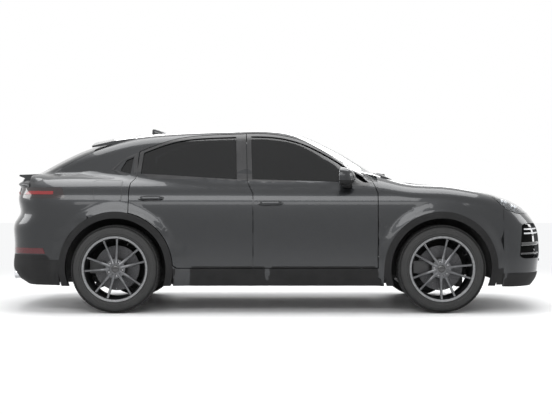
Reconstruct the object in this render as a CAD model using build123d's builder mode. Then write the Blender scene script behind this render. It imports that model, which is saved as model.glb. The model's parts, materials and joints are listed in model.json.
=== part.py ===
from build123d import *
import math
import os
import numpy as np

# ---------------------------------------------------------------- driving dimensions, mm
# Frame: +X forward, +Y to the car's left, +Z up, origin on the ground under the middle of the car.
overall_length = 4930.0
wheelbase = 2895.0
front_overhang = 1005.0
door_half_width = 940.0        # half the width over the doors
flare_height = 27.0            # how far an arch flare stands out from the doors
roof_height = 1669.0
belt_height = 1150.0           # foot of the side glass
sill_height = 235.0            # underside of the sill
tyre_radius = 390.0

nose_x = overall_length / 2
tail_x = -overall_length / 2
front_axle_x = nose_x - front_overhang
rear_axle_x = front_axle_x - wheelbase
arch_radius = tyre_radius + 58.0
flare_radius = arch_radius + 60.0

panel_gap = 7.0                # open line between two panels
seat_gap = 0.5                 # between a fixed piece and what carries it


# ---------------------------------------------------------------- the body's form
class Curve:
    """A smooth line through a few points: a natural cubic, straight beyond both ends."""

    def __init__(self, *points):
        self.x = np.array([p[0] for p in points], float)
        self.y = np.array([p[1] for p in points], float)
        count = len(self.x)
        self.h = np.diff(self.x)
        self.slope = np.diff(self.y) / self.h
        matrix = np.eye(count)
        right = np.zeros(count)
        for i in range(1, count - 1):
            left_h, right_h = self.h[i - 1], self.h[i]
            matrix[i, i - 1 : i + 2] = left_h, 2 * (left_h + right_h), right_h
            right[i] = 6 * (self.slope[i] - self.slope[i - 1])
        self.m = np.linalg.solve(matrix, right)
        self.start = self.slope[0] - self.h[0] * self.m[1] / 6
        self.end = self.slope[-1] + self.h[-1] * self.m[-2] / 6

    def __call__(self, at):
        at = np.asarray(at, float)
        i = np.clip(np.searchsorted(self.x, at) - 1, 0, len(self.h) - 1)
        h, m0, m1 = self.h[i], self.m[i], self.m[i + 1]
        past = np.clip(at, self.x[0], self.x[-1]) - self.x[i]
        left = h - past
        inside = (m0 * left**3 + m1 * past**3) / (6 * h)
        inside = inside + (self.y[i] / h - m0 * h / 6) * left
        inside = inside + (self.y[i + 1] / h - m1 * h / 6) * past
        below = np.minimum(at - self.x[0], 0) * self.start
        above = np.maximum(at - self.x[-1], 0) * self.end
        return inside + below + above


front, rear, mid = front_axle_x, rear_axle_x, (front_axle_x + rear_axle_x) / 2
half = door_half_width

# Lower body: half width at its widest, and how far each height is inside that.
plan_line = Curve((tail_x, half - 150), (rear - 700, half - 45), (rear - 350, half + 8), (rear, half + 18),
                  (rear + 500, half + 4), (mid, half), (front - 500, half + 1), (front, half + 14),
                  (front + 450, half - 22), (front + 730, half - 80), (nose_x, half - 175))
section_line = Curve((235, 56), (400, 22), (560, 9), (720, 2), (880, 0), (980, 6), (1050, 24),
                     (1110, 58), (1160, 100), (1240, 190))
# Height of the bonnet, scuttle and rear deck along the middle, and the drop 700 mm out.
deck_line = Curve((tail_x, 1236), (rear - 500, 1248), (rear + 300, 1262), (front - 500, 1235),
                  (front - 300, 1178), (front, 1152), (front + 300, 1113), (front + 450, 1087),
                  (front + 600, 1050), (front + 740, 1003), (front + 840, 955), (front + 920, 900),
                  (front + 975, 842), (nose_x, 795))
deck_drop = Curve((tail_x, 12), (rear, 16), (front - 400, 26), (front, 20), (front + 300, 24),
                  (front + 600, 50), (front + 800, 84), (nose_x, 110))
# Front and rear faces along the middle, and how they bow back towards the sides.
nose_line = Curve((200, nose_x - 105), (300, nose_x - 32), (400, nose_x - 14), (500, nose_x),
                  (620, nose_x - 4), (760, nose_x - 14), (900, nose_x - 50))
tail_line = Curve((230, tail_x + 150), (290, tail_x + 60), (480, tail_x + 4), (700, tail_x),
                  (790, tail_x + 8), (870, tail_x + 55), (1000, tail_x + 42), (1100, tail_x + 58),
                  (1236, tail_x + 62))
# Cabin: half width at the belt, lean above it, roof line and the drop 600 mm out.
cabin_line = Curve((rear - 760, 640), (rear - 300, 725), (rear + 100, 802), (rear + 550, 843),
                   (mid - 100, 860), (front - 960, 853), (front - 600, 822), (front - 350, 775))
lean_line = Curve((-300, 190), (-100, 28), (0, 0), (100, 39), (200, 84), (300, 135), (400, 192), (470, 240), (530, 290))
roof_line = Curve((rear - 785, 1285), (rear - 415, 1470), (rear - 165, 1550), (rear + 65, 1605),
                  (rear + 375, 1640), (rear + 825, 1662), (rear + 1095, 1669), (front - 1310, 1641),
                  (front - 1160, 1592), (front - 1000, 1520), (front - 850, 1443), (front - 550, 1259),
                  (front - 410, 1168))
roof_drop = Curve((rear - 785, 100), (rear - 415, 84), (rear + 65, 60), (rear + 825, 50),
                  (front - 1460, 52), (front - 1160, 66), (front - 850, 92), (front - 410, 124))


def smooth_max(a, b, width):
    """The larger of two values, rounded where they are within a width of each other."""
    h = np.maximum(width - np.abs(a - b), 0.0) / width
    return np.maximum(a, b) + h * h * width / 4


def bow(y, middle, corner):
    """How far an end face lies back from its middle, out at y."""
    out = np.abs(y) / 1000.0
    return middle * out**2 + corner * out**6


def flare(x, z):
    """How far the arch flares stand out of the side."""
    swell = 0.0
    for axle in (front, rear):
        r = np.hypot(x - axle, z - tyre_radius)
        t = np.clip((flare_radius + 95 - r) / 110, 0, 1)
        swell = swell + t * t * (3 - 2 * t)
    return flare_height * swell


def form(x, y, z):
    """Below zero inside the closed body, above zero outside, and near a distance in mm close to it."""
    out = np.abs(y)
    lift = roof_height - 1669.0
    side = out - (plan_line(x) - section_line(z) + flare(x, z) * np.clip((1150 - z) / 300, 0, 1))
    top = z - (deck_line(x) - deck_drop(x) * (y / 700) ** 2)
    lower = smooth_max(side, top, 120)
    lower = smooth_max(lower, x - (nose_line(z) - bow(y, 140, 250)), 170)
    lower = smooth_max(lower, tail_line(z) + bow(y, 110, 220) - x, 120)
    glass = out - (cabin_line(x) - lean_line(z - belt_height))
    roof = z - lift * np.clip((roof_line(x) - 1200) / 469, 0, 1) - roof_line(x)
    roof = roof + roof_drop(x) * (y / 600) ** 2
    cabin = smooth_max(smooth_max(glass, roof, 70), tail_line(z) + bow(y, 110, 220) + 40 - x, 40)
    return -smooth_max(-lower, -cabin, 26)


def surface(origin, direction, depth=0.0, reach=3000.0):
    """The points where rays leave the body, or where they pass a level depth mm under its skin."""
    origin, direction = np.asarray(origin, float), np.asarray(direction, float)

    def at(t):
        return origin + t[..., None] * direction

    def solve(level):
        low = np.zeros(origin.shape[:-1])
        high = np.full(origin.shape[:-1], reach)
        for _ in range(50):
            middle = (low + high) / 2
            inside = form(*np.moveaxis(at(middle), -1, 0)) < level
            low, high = np.where(inside, middle, low), np.where(inside, high, middle)
        return at(low)

    skin = solve(0.0)
    if depth == 0:
        return skin
    step = 2.0
    slopes = []
    for axis in range(3):
        move = np.zeros(3)
        move[axis] = step
        ahead = form(*np.moveaxis(skin + move, -1, 0))
        behind = form(*np.moveaxis(skin - move, -1, 0))
        slopes.append((ahead - behind) / (2 * step))
    steep = np.sqrt(sum(s * s for s in slopes))
    return solve(-depth * steep)


# ---------------------------------------------------------------- walls between two depths under the skin
fan_count = 90                 # rays in each section, before its points are evened out


def even_steps(points, count):
    """Points at even distances along a dense row of points."""
    past = np.concatenate([[0], np.cumsum(np.linalg.norm(np.diff(points, axis=0), axis=1))])
    stops = np.linspace(0, past[-1], count)
    return np.stack([np.interp(stops, past, points[:, axis]) for axis in range(3)], -1)


def wall(planes, fan, inner, outer=0.0, count=17):
    """A solid between two depths under the skin, lofted through sections cut by the planes."""
    steps = [i / (count - 1) for i in range(count)]
    with BuildPart() as slab:
        for plane in planes:
            origin, direction = fan(plane)
            skin_points, back_points = (
                [plane.to_local_coords(Vector(*point))
                 for point in even_steps(surface(origin, direction, depth), count)]
                for depth in (outer, inner)
            )
            with BuildSketch(plane):
                with BuildLine():
                    skin = Edge.make_spline(skin_points, parameters=steps)
                    back = Edge.make_spline(back_points, parameters=steps)
                    add([skin, back])
                    Line(skin @ 0, back @ 0)
                    Line(skin @ 1, back @ 1)
                make_face()
        loft()
    return slab.part


def rays(point_list, direction_list):
    return np.array(point_list, float), np.array(direction_list, float)


def side_wall(x_start, x_end, inner, outer=0.0, low=-34, high=62, sections=18, height=620.0):
    """Left side, as rays out of a line inside the car, low and high in degrees above level."""

    def fan(plane):
        angles = np.radians(np.linspace(low, high, fan_count))
        starts = [(plane.origin.X, 0, height) for _ in angles]
        return rays(starts, [(0, math.cos(a), math.sin(a)) for a in angles])

    planes = [Plane.YZ.offset(x) for x in np.linspace(x_start, x_end, sections)]
    return wall(planes, fan, inner, outer)


def top_wall(x_start, x_end, reach, inner, outer=0.0, sections=12, height=560.0):
    """Bonnet, screens and roof, as rays straight up, out to reach on both sides."""

    def fan(plane):
        widths = np.linspace(-reach, reach, fan_count)
        starts = [(plane.origin.X, y, height) for y in widths]
        return rays(starts, [(0, 0, 1) for _ in widths])

    planes = [Plane.YZ.offset(x) for x in np.linspace(x_start, x_end, sections)]
    return wall(planes, fan, inner, outer)


def end_wall(x_axis, turn, low, high, inner, outer=0.0, sections=12, spread=104):
    """Nose or tail, as level rays out of an upright line; turn is 0 for the nose and 180 for the tail."""

    def fan(plane):
        angles = np.radians(np.linspace(turn - spread, turn + spread, fan_count))
        starts = [(x_axis, 0, plane.origin.Z) for _ in angles]
        return rays(starts, [(math.cos(a), math.sin(a), 0) for a in angles])

    planes = [Plane.XY.offset(z) for z in np.linspace(low, high, sections)]
    return wall(planes, fan, inner, outer)


def long_wall(x_axis, z_axis, low, high, reach, inner, outer=0.0, sections=13):
    """Bonnet or tailgate, as rays fanned in lengthwise planes, from low to high degrees above forward."""

    def fan(plane):
        angles = np.radians(np.linspace(low, high, fan_count))
        starts = [(x_axis, plane.origin.Y, z_axis) for _ in angles]
        return rays(starts, [(math.cos(a), 0, math.sin(a)) for a in angles])

    planes = [Plane.XZ.offset(-y) for y in np.linspace(-reach, reach, sections)]
    return wall(planes, fan, inner, outer)


os.makedirs("parts", exist_ok=True)


def save(part, name):
    part.label = name
    export_step(part, f"parts/{name}.step")


# ---------------------------------------------------------------- side view lines of the left side
door_bottom = 398.0
door_front = front - 567
pillar = mid - 227             # line between the front and rear doors, below the belt
pillar_lean = 51.0             # how far that line has moved back at the belt
rear_door_end = rear + 120
rear_door_lip = flare_radius + 4
shoulder_height = 1053.0


def belt(x):
    """Foot of the side windows."""
    line = Curve((rear + 95, 62), (mid - 532, 37), (mid - 422, 25), (front - 1000, -2), (front - 600, -21))
    return belt_height + float(line(x))


side_glass_top = [(front - 690, 1234), (front - 890, 1353), (front - 1090, 1471), (front - 1290, 1555),
                  (mid - 32, 1595), (mid - 442, 1597), (rear + 695, 1581), (rear + 485, 1545),
                  (rear + 275, 1472), (rear + 65, 1383)]
glass_top_line = Curve(*sorted(side_glass_top))


def glass_top(x):
    """Head of the side windows."""
    return float(glass_top_line(x)) + (roof_height - 1669.0)


def head_points(x_start, x_end, inset=0.0, count=7):
    """Points along the head of the side windows, inset below it."""
    return [(x, glass_top(x) - inset) for x in np.linspace(x_start, x_end, count)]


def on_circle(x, z, radius, degrees):
    return x + radius * math.cos(math.radians(degrees)), z + radius * math.sin(math.radians(degrees))


side_face = Plane.XZ.offset(-1300)          # sketches here are cut inwards across the left half
side_reach = 1290.0


def front_door_outline(grow=0.0):
    """The front door's edge from the side, grown outwards by grow."""
    ahead, behind = door_front + grow, pillar + panel_gap / 2 - grow
    behind_top = behind - pillar_lean
    head = head_points(front - 615, behind_top - 16, -grow)
    Spline(*head)
    Polyline(head[-1], (behind_top, belt(behind)), (behind, shoulder_height), (behind, door_bottom - grow),
             (ahead, door_bottom - grow), (ahead, shoulder_height + 9), (ahead - 27, belt(ahead) + 6), head[0])


def rear_door_outline(grow=0.0):
    """The rear door's edge from the side: upright at the pillar, round the wheel arch behind."""
    ahead, behind = pillar - panel_gap / 2 + grow, rear_door_end - grow
    ahead_top = ahead - pillar_lean
    lip = rear_door_lip - grow
    head = head_points(ahead_top - 16, rear + 190 - grow, -grow)
    foot = math.degrees(math.asin((door_bottom + 26 - grow - tyre_radius) / lip))
    shoulder = math.degrees(math.acos((behind - rear) / lip))
    Spline(*head)
    Polyline(head[-1], (rear + 168 - grow, belt(rear) - 17), (behind + 7, belt(rear) - 60), (behind, 1089),
             (behind, tyre_radius + lip * math.sin(math.radians(shoulder))))
    CenterArc((rear, tyre_radius), lip, foot, shoulder - foot)
    Polyline(on_circle(rear, tyre_radius, lip, foot), (rear + lip + 34, door_bottom - grow),
             (ahead, door_bottom - grow), (ahead, shoulder_height), (ahead_top, belt(ahead)), head[0])


def front_window_outline(inset):
    head = head_points(front - 666 - inset, pillar - 46 + inset, inset)
    Spline(*head)
    Polyline(head[-1], (pillar - 32 + inset, belt(pillar) + inset), (front - 616 - inset, belt(front - 616) + inset),
             head[0])


def rear_window_outline(inset):
    head = head_points(pillar - 135 - inset, rear + 202 + inset, inset)
    Spline(*head)
    Polyline(head[-1], (rear + 182 + inset, belt(rear + 200) + inset), (pillar - 121 - inset, belt(pillar) + inset),
             head[0])


def quarter_window_outline(inset):
    head = head_points(rear + 160 - inset, rear + 70, inset)
    Spline(*head)
    Polyline(head[-1], (rear - 52 + 3 * inset, belt_height + 124), (rear + 20, belt_height + 84 + inset),
             (rear + 136 - inset, belt(rear + 136) + inset), head[0])


def side_prism(outline, *sizes):
    """The whole left half inside a side-view outline."""
    with BuildPart() as prism:
        with BuildSketch(side_face):
            with BuildLine():
                outline(*sizes)
            make_face()
        extrude(amount=side_reach)
    return prism.part


def right_hand(part):
    """The same piece on the right of the car."""
    return mirror(part, about=Plane.XZ)


def skin_y(x, z):
    """How far out the skin is at a place in the side view."""
    return float(surface(*rays([(x, 0, z)], [(0, 1, 0)]))[0, 1])


def swing_relief(edge, foot, head, slope):
    """What a door's upper rear edge loses, so that it swings clear: a wedge from the skin inwards.

    The edge is a row of places in the side view, from its foot up. The cut starts on a plane that
    lies on the skin at foot and head, and leans forward by slope for each mm inwards."""
    base = Vector(foot[0], skin_y(*foot), foot[1])
    up = Vector(0, skin_y(*head) - base.Y, head[1] - base.Z).normalized()
    leaning = Plane(origin=base, x_dir=(1, 0, 0), z_dir=Vector(1, 0, 0).cross(up))
    corners = [(x - relief_start - base.X, (z - base.Z) / up.Z) for x, z in edge]
    corners += [(corners[-1][0], 700), (-300, 700), (-300, corners[0][1])]
    with BuildPart() as wedge:
        with BuildSketch(leaning):
            with BuildLine():
                Polyline(*corners, close=True)
            make_face()
        extrude(amount=220, dir=(slope, -1, 0))
    return wedge.part


def box(x_range, y_range, z_range):
    """A plain block between two corners, for cutting and for simple pieces."""
    with BuildPart() as block:
        with Locations(((x_range[0] + x_range[1]) / 2, (y_range[0] + y_range[1]) / 2,
                        (z_range[0] + z_range[1]) / 2)):
            Box(x_range[1] - x_range[0], y_range[1] - y_range[0], z_range[1] - z_range[0])
    return block.part


def save_pair(part, name):
    """A left piece and its mirrored right one, in two nodes."""
    save(part, f"left_{name}")
    save(right_hand(part), f"right_{name}")


# ---------------------------------------------------------------- lines the body panels share
sill_top = door_bottom - panel_gap
fender_joint = front + 560     # line between front fender and front bumper
bumper_peak = rear - 495       # where the rear bumper's upper line starts, at the lamp
lamp_foot, lamp_head = 1016.0, 1112.0
quarter_end = rear - 800       # where the quarter's side meets its rear corner
roof_half = 545.0              # from the middle to the joint between roof and roof rail
hatch_hinge_x = rear + 150     # line between roof and tailgate
screen_head = front - 1180     # line between roof and windscreen, at the middle
bonnet_nose_height = 895.0     # where the bonnet's front edge lies
hatch_bottom = 806.0
lift_turn = math.radians(22.5)  # how far behind upright the tailgate sets off
body_depth = 60.0


def lift_step(x, z):
    """How far down the tailgate a place is, square to the way the tailgate sets off."""
    return -x * math.cos(lift_turn) - z * math.sin(lift_turn)


def hatch_outline(grow=0.0):
    """The tailgate's edge, as half widths at places down its middle."""
    edge = [(hatch_hinge_x + 300, roof_height + 60, 560), (hatch_hinge_x, 1618, 566),
            (rear - 265, 1480, 578), (rear - 565, 1337, 610), (rear - 765, 1262, 650),
            (tail_x + 125, 1240, 664), (tail_x + 65, lamp_head, 684), (tail_x + 65, lamp_foot, 684),
            (tail_x + 65, 930, 650), (tail_x + 65, hatch_bottom, 600), (tail_x - 200, hatch_bottom - 400, 600)]
    right = [(half_width + grow, lift_step(x, z)) for x, z, half_width in edge]
    Polyline(*right, *[(-width, step) for width, step in reversed(right)], close=True)


def hatch_prism(grow=0.0, ahead=0.0):
    """Everything inside the tailgate's edge, behind its hinge line, cut the way it lifts."""
    lift = (-math.sin(lift_turn), 0, math.cos(lift_turn))
    with BuildPart() as prism:
        with BuildSketch(Plane(origin=(0, 0, 0), x_dir=(0, 1, 0), z_dir=lift)):
            with BuildLine():
                hatch_outline(grow)
            make_face()
        extrude(amount=3400, both=True)
    return prism.part & box((tail_x - 100, hatch_hinge_x + ahead), (-900, 900), (hatch_bottom - grow, 1900))


def bonnet_outline(grow=0.0):
    """The bonnet's edge from above."""
    left = [(front - 395, 0), (front - 425, 350), (front - 500, 640), (front - 520, 716)]
    rear_edge = [(x - grow, y) for x, y in left]
    side = [(front - 200, 712), (front + 180, 694), (front + 470, 664)]
    nose = [(front + 690, 600), (front + 840, 400), (front + 890, 200), (front + 900, 0)]
    half_edge = rear_edge[:-1] + [(rear_edge[-1][0], 716 + grow)] + [(x, y + grow) for x, y in side]
    half_edge += [(x + grow, y + grow / 2) for x, y in nose[:-1]] + [(nose[-1][0] + grow, 0)]
    mirrored = [(x, -y) for x, y in reversed(half_edge[1:-1])]
    Polyline(*half_edge, *mirrored, close=True)


def bonnet_prism(grow=0.0, lean=0.0):
    """Everything under the bonnet's edge; its front cut leans back by lean for each mm under the nose edge."""
    prism_top, prism_height = 1260, 600
    with BuildPart() as prism:
        with BuildSketch(Plane(origin=(lean * (prism_top - bonnet_nose_height), 0, prism_top))):
            with BuildLine():
                bonnet_outline(grow)
            make_face()
        extrude(amount=prism_height, dir=(-lean, 0, -1))
        if lean:
            add(box((front - 600, front + 560), (-900, 900), (prism_top - prism_height, prism_top + 10)))
    return prism.part


def screen_outline(grow=0.0):
    """The windscreen's edge from above."""
    half_edge = [(screen_head - grow, 0), (screen_head - 30 - grow, 300), (screen_head - 70 - grow, 520 + grow),
                 (front - 870, 610 + grow), (front - 620, 700 + grow), (front - 540 + grow, 716 + grow),
                 (front - 460 + grow, 350), (front - 425 + grow, 0)]
    mirrored = [(x, -y) for x, y in reversed(half_edge[1:-1])]
    Polyline(*half_edge, *mirrored, close=True)


def screen_prism(grow=0.0):
    with BuildPart() as prism:
        with BuildSketch(Plane.XY.offset(roof_height + 60)):
            with BuildLine():
                screen_outline(grow)
            make_face()
        extrude(amount=-620)
    return prism.part


def headlamp_outline(grow=0.0):
    """The headlamp's edge from the side."""
    Polyline((front + 436 - grow, 1110), (front + 440 - grow, 1050 - grow), (front + 585, 914 - grow),
             (front + 680, 880 - grow), (front + 860 + grow, 868 - grow), (front + 860 + grow, 1110), close=True)


def headlamp_prism(grow=0.0):
    """The left headlamp's space, outside a line 500 mm from the middle."""
    prism = side_prism(headlamp_outline, grow)
    return prism & box((front, nose_x), (505 - grow, 1200), (700, 1200))


def tail_lamp_outline(grow=0.0):
    """The tail lamp's edge from the side."""
    Polyline((tail_x - 20, lamp_foot - grow), (bumper_peak + 30, lamp_foot - grow), (bumper_peak + 42 + grow, 1030),
             (bumper_peak + 10, lamp_head + grow), (tail_x - 20, lamp_head + grow), close=True)


def rear_bumper_outline(grow=0.0):
    """The rear bumper's edge from the side, under the lamp and down to the wheel arch."""
    Polyline((tail_x - 20, lamp_foot), (bumper_peak + 25, lamp_foot + 0), (bumper_peak + 45 + grow, 1066 - 64),
             (rear - 325 + grow, 967 - 40), (rear - 225 + grow, 878 - 40), (rear - 225 + grow, 150),
             (tail_x - 20, 150), close=True)


def across_prism(outline, *sizes):
    """Everything inside a side-view outline, right across the car."""
    with BuildPart() as prism:
        with BuildSketch(side_face):
            with BuildLine():
                outline(*sizes)
            make_face()
        extrude(amount=2600)
    return prism.part


def arch_prism(axle, radius):
    """The left wheel opening, open at the bottom."""
    with BuildPart() as prism:
        with BuildSketch(side_face):
            with Locations((axle, tyre_radius)):
                Circle(radius)
            with Locations((axle, 40)):
                Rectangle(2 * radius, 2 * tyre_radius - 80)
        extrude(amount=side_reach - 330)
    return prism.part


# ---------------------------------------------------------------- doors
door_thickness = 54.0
swing_draft = math.tan(math.radians(24))
relief_start = 1.5             # from a door's edge to the start of its relief
window_inset = 24.0
rail_gap = 15.0                # between the door tops and the roof's edge
side_shell = side_wall(rear - 830, door_front + 90, door_thickness)
glass_shell = side_wall(rear - 150, door_front - 20, 14, 9, low=25, high=62)
front_foot = (pillar + panel_gap / 2 - pillar_lean, belt(pillar))
front_head = (front_foot[0] - 16, glass_top(front_foot[0] - 16))
front_edge = [(front_foot[0] + 22, front_foot[1] - 43), front_foot, front_head]
back_foot = (rear + 168, belt(rear) - 17)
back_head = (rear + 190, glass_top(rear + 190))
back_edge = [(rear_door_end + 1, 1100), (rear_door_end + 7, belt(rear) - 60), back_foot, back_head]
back_edge += [(x, z + 3) for x, z in head_points(rear + 260, rear + 480, 0.0, 4)]
door_outlines = {"front": (front_door_outline, front_window_outline, (front_edge, front_foot, front_head)),
                 "rear": (rear_door_outline, rear_window_outline, (back_edge, back_foot, back_head))}
door_limit = box((rear, front), (roof_half + rail_gap, 1200), (0, 1800)) - screen_prism(panel_gap)

for place, (outline, window, relief_lines) in door_outlines.items():
    straight = side_prism(outline, 0)
    window_cut = side_prism(window, window_inset)
    window_edge = side_prism(window, window_inset + 2 * seat_gap)
    relief = swing_relief(*relief_lines, swing_draft)
    with BuildPart() as door:
        add(side_shell)
        add(straight, mode=Mode.INTERSECT)
        add(door_limit, mode=Mode.INTERSECT)
        add(relief, mode=Mode.SUBTRACT)
        add(window_cut, mode=Mode.SUBTRACT)
    save_pair(door.part, f"{place}_door")
    with BuildPart() as pane:
        add(glass_shell)
        add(window_edge, mode=Mode.INTERSECT)
    save_pair(pane.part, f"{place}_window")

# ---------------------------------------------------------------- body sides
front_hole = side_prism(front_door_outline, panel_gap)
rear_hole = side_prism(rear_door_outline, panel_gap)
hatch_hole = hatch_prism(panel_gap, panel_gap)
screen_hole = screen_prism(seat_gap)
rear_arch = arch_prism(rear, flare_radius + seat_gap)
front_arch = arch_prism(front, flare_radius + seat_gap)
rear_bumper_space = side_prism(rear_bumper_outline, seat_gap)
tail_lamp_space = side_prism(tail_lamp_outline, seat_gap)
quarter_window_hole = side_prism(quarter_window_outline, window_inset)
quarter_window_edge = side_prism(quarter_window_outline, window_inset + 2 * seat_gap)
body_shell = side_wall(rear - 840, door_front + 90, body_depth)
pillar_shell = side_wall(pillar - 150, pillar + 90, body_depth + 50, body_depth, sections=5)
seal_shell = side_wall(rear - 830, door_front + 90, body_depth + 3, door_thickness + seat_gap)
tail_shell = end_wall(rear - 350, 180, 240, 1175, 40, sections=16, spread=96)

hinge_heights = (500.0, 860.0)
striker_z = 760.0
rest_blocks = []
with BuildPart() as left_body_side:
    add(body_shell)
    add(box((quarter_end + seat_gap, door_front + panel_gap + 60), (100, 1200), (sill_height, 1700)),
        mode=Mode.INTERSECT)
    for hole in (front_hole, rear_hole, hatch_hole, screen_hole, rear_arch, rear_bumper_space, tail_lamp_space,
                 quarter_window_hole):
        add(hole, mode=Mode.SUBTRACT)
    add(box((screen_head - 200, nose_x), (-10, roof_half), (1200, 1800)), mode=Mode.SUBTRACT)
    add(box((hatch_hinge_x, nose_x), (-10, roof_half), (1200, 1800)), mode=Mode.SUBTRACT)
    add(box((front - 560, nose_x), (-10, 1200), (sill_top, 1800)), mode=Mode.SUBTRACT)
    add(box((front - flare_radius, nose_x), (-10, 1200), (100, 1800)), mode=Mode.SUBTRACT)
quarter_corner = tail_shell & box((tail_x, quarter_end), (0, 1200), (lamp_head + seat_gap, 1300))
quarter_corner = quarter_corner - hatch_hole
with BuildPart() as left_pillar:
    add(pillar_shell)
    add(box((pillar - 130, pillar + 70), (0, 1200), (sill_height + 60, 1600)), mode=Mode.INTERSECT)
for hinge_z in hinge_heights:
    rest_blocks.append(seal_shell & box((pillar - 60, pillar - 30), (0, 1200), (hinge_z, hinge_z + 60)))
rest_blocks.append(seal_shell & box((pillar + 30, pillar + 60), (0, 1200), (striker_z, striker_z + 60)))
left_side = left_body_side.part + left_pillar.part
for block in rest_blocks:
    left_side = left_side + block
save_pair(Part(left_side.solids() + quarter_corner.solids()), "body_side")

with BuildPart() as quarter_window:
    add(glass_shell)
    add(quarter_window_edge, mode=Mode.INTERSECT)
save(Part(quarter_window.solids() + right_hand(quarter_window.part).solids()), "quarter_windows")

# ---------------------------------------------------------------- roof, windscreen and scuttle
roof_depth = 34.0
screen_depth = 6.0
top_shell = top_wall(hatch_hinge_x - 40, front - 380, 730, roof_depth)
screen_shell = top_wall(screen_head - 90, front - 380, 730, screen_depth)
screen_space = top_wall(screen_head - 90, front - 380, 730, screen_depth + seat_gap, -10)
with BuildPart() as roof:
    add(top_shell)
    add(box((hatch_hinge_x + seat_gap, front), (-roof_half + seat_gap, roof_half - seat_gap), (1000, 1900)),
        mode=Mode.INTERSECT)
    add(screen_hole, mode=Mode.SUBTRACT)
    add(box((front - 900, front), (-900, 900), (1000, 1500)), mode=Mode.SUBTRACT)
roof_panel = roof.part
for side in (1, -1):
    lug = box((hatch_hinge_x - panel_gap + seat_gap, hatch_hinge_x + 2), sorted((side * 400, side * 440)), (1000, 1900))
    roof_panel = roof_panel + (top_shell & lug)
save(roof_panel, "roof")

with BuildPart() as windscreen:
    add(screen_shell)
    add(screen_prism(), mode=Mode.INTERSECT)
save(windscreen.part, "windscreen")

bonnet_hole = bonnet_prism(panel_gap)
scuttle_shell = long_wall(front + 150, 600, 124, 142, 690, 60, 2 * screen_depth)
scuttle_half = 640.0
bonnet_lugs = box((front - 560, front - 400), (570, 600), (1000, 1300))
bonnet_lugs = bonnet_lugs + right_hand(bonnet_lugs)
firewall_x = front - 480
with BuildPart() as scuttle:
    add(scuttle_shell)
    add(box((front - 620, front - 380), (-scuttle_half, scuttle_half), (1000, 1300)), mode=Mode.INTERSECT)
    add(bonnet_hole - bonnet_lugs, mode=Mode.SUBTRACT)
    add(bonnet_prism(seat_gap), mode=Mode.SUBTRACT)
    add(screen_space & screen_hole, mode=Mode.SUBTRACT)
save(scuttle.part, "scuttle")
scuttle_space = box((front - 620, front - 380), (-scuttle_half - seat_gap, scuttle_half + seat_gap), (1000, 1300))

# ---------------------------------------------------------------- front fenders and bonnet
skin_depth = 28.0
lamp_top = 1024.0
lamp_space = headlamp_prism(seat_gap) & box((front, nose_x), (0, 1200), (700, lamp_top + seat_gap))
fender_shell = side_wall(door_front - 60, fender_joint + 30, skin_depth, sections=14)
fender_lugs = box((door_front + seat_gap, front), (0, 1200), (hinge_heights[0], hinge_heights[0] + 60))
fender_lugs = fender_lugs + box((door_front + seat_gap, front), (0, 1200), (hinge_heights[1], hinge_heights[1] + 60))
with BuildPart() as fender:
    add(fender_shell)
    add(box((front - 560 + seat_gap, fender_joint - seat_gap), (300, 1200), (sill_top + seat_gap, 1300)),
        mode=Mode.INTERSECT)
    for hole in (front_hole - fender_lugs, bonnet_hole, screen_hole, front_arch, lamp_space, scuttle_space):
        add(hole, mode=Mode.SUBTRACT)
save_pair(fender.part, "front_fender")

bonnet_shell = long_wall(front + 150, 600, 12, 139, 735, skin_depth, sections=15)
with BuildPart() as bonnet:
    add(bonnet_shell)
    add(bonnet_prism(0, 0.3), mode=Mode.INTERSECT)
    add(bonnet_prism(0), mode=Mode.INTERSECT)
save(bonnet.part, "bonnet")

# ---------------------------------------------------------------- nose: bumper, grille and headlamps
bumper_depth = 36.0
nose_shell = end_wall(front + 200, 0, 225, lamp_top + 6, bumper_depth, sections=16, spread=84)
lamp_spaces = lamp_space + right_hand(lamp_space)
grille_half, grille_low, grille_high = 520.0, 430.0, 770.0
intake_front = (610.0, 840.0)
with BuildPart() as intakes:
    with BuildSketch(Plane.YZ.offset(front + 600)):
        with Locations((0, (grille_low + grille_high) / 2)):
            RectangleRounded(2 * grille_half, grille_high - grille_low, 22)
        with Locations((0, 345)):
            RectangleRounded(2 * grille_half + 120, 70, 20)
        for side in (1, -1):
            with Locations((side * (intake_front[0] + intake_front[1]) / 2, 632)):
                RectangleRounded(intake_front[1] - intake_front[0], 316, 36)
    extrude(amount=500)
with BuildPart() as front_bumper:
    add(nose_shell)
    add(box((fender_joint, nose_x + 10), (-1100, 1100), (200, 1050)), mode=Mode.INTERSECT)
    for hole in (lamp_spaces, bonnet_hole, front_arch, right_hand(front_arch), intakes.part):
        add(hole, mode=Mode.SUBTRACT)
save(Part([max(front_bumper.solids(), key=lambda solid: solid.volume)]), "front_bumper")

grille_shell = end_wall(front + 240, 0, 300, 800, 34, 14, sections=8, spread=70)
with BuildPart() as slats:
    with Locations((front + 850, 0, 0)):
        with Locations(*[(0, 0, z) for z in np.arange(grille_low + 34, grille_high - 10, 68)]):
            Box(400, 2 * grille_half - 2 * seat_gap, 16)
    with Locations((front + 850, 0, (grille_low + grille_high) / 2)):
        Box(400, 30, grille_high - grille_low - 2 * seat_gap)
with BuildPart() as grille:
    add(grille_shell)
    add(slats.part, mode=Mode.INTERSECT)
save(grille.part, "grille")

headlamp = nose_shell & lamp_space & headlamp_prism()
headlamp = headlamp - bonnet_hole
save(Part(headlamp.solids() + right_hand(headlamp).solids()), "headlamps")

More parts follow.
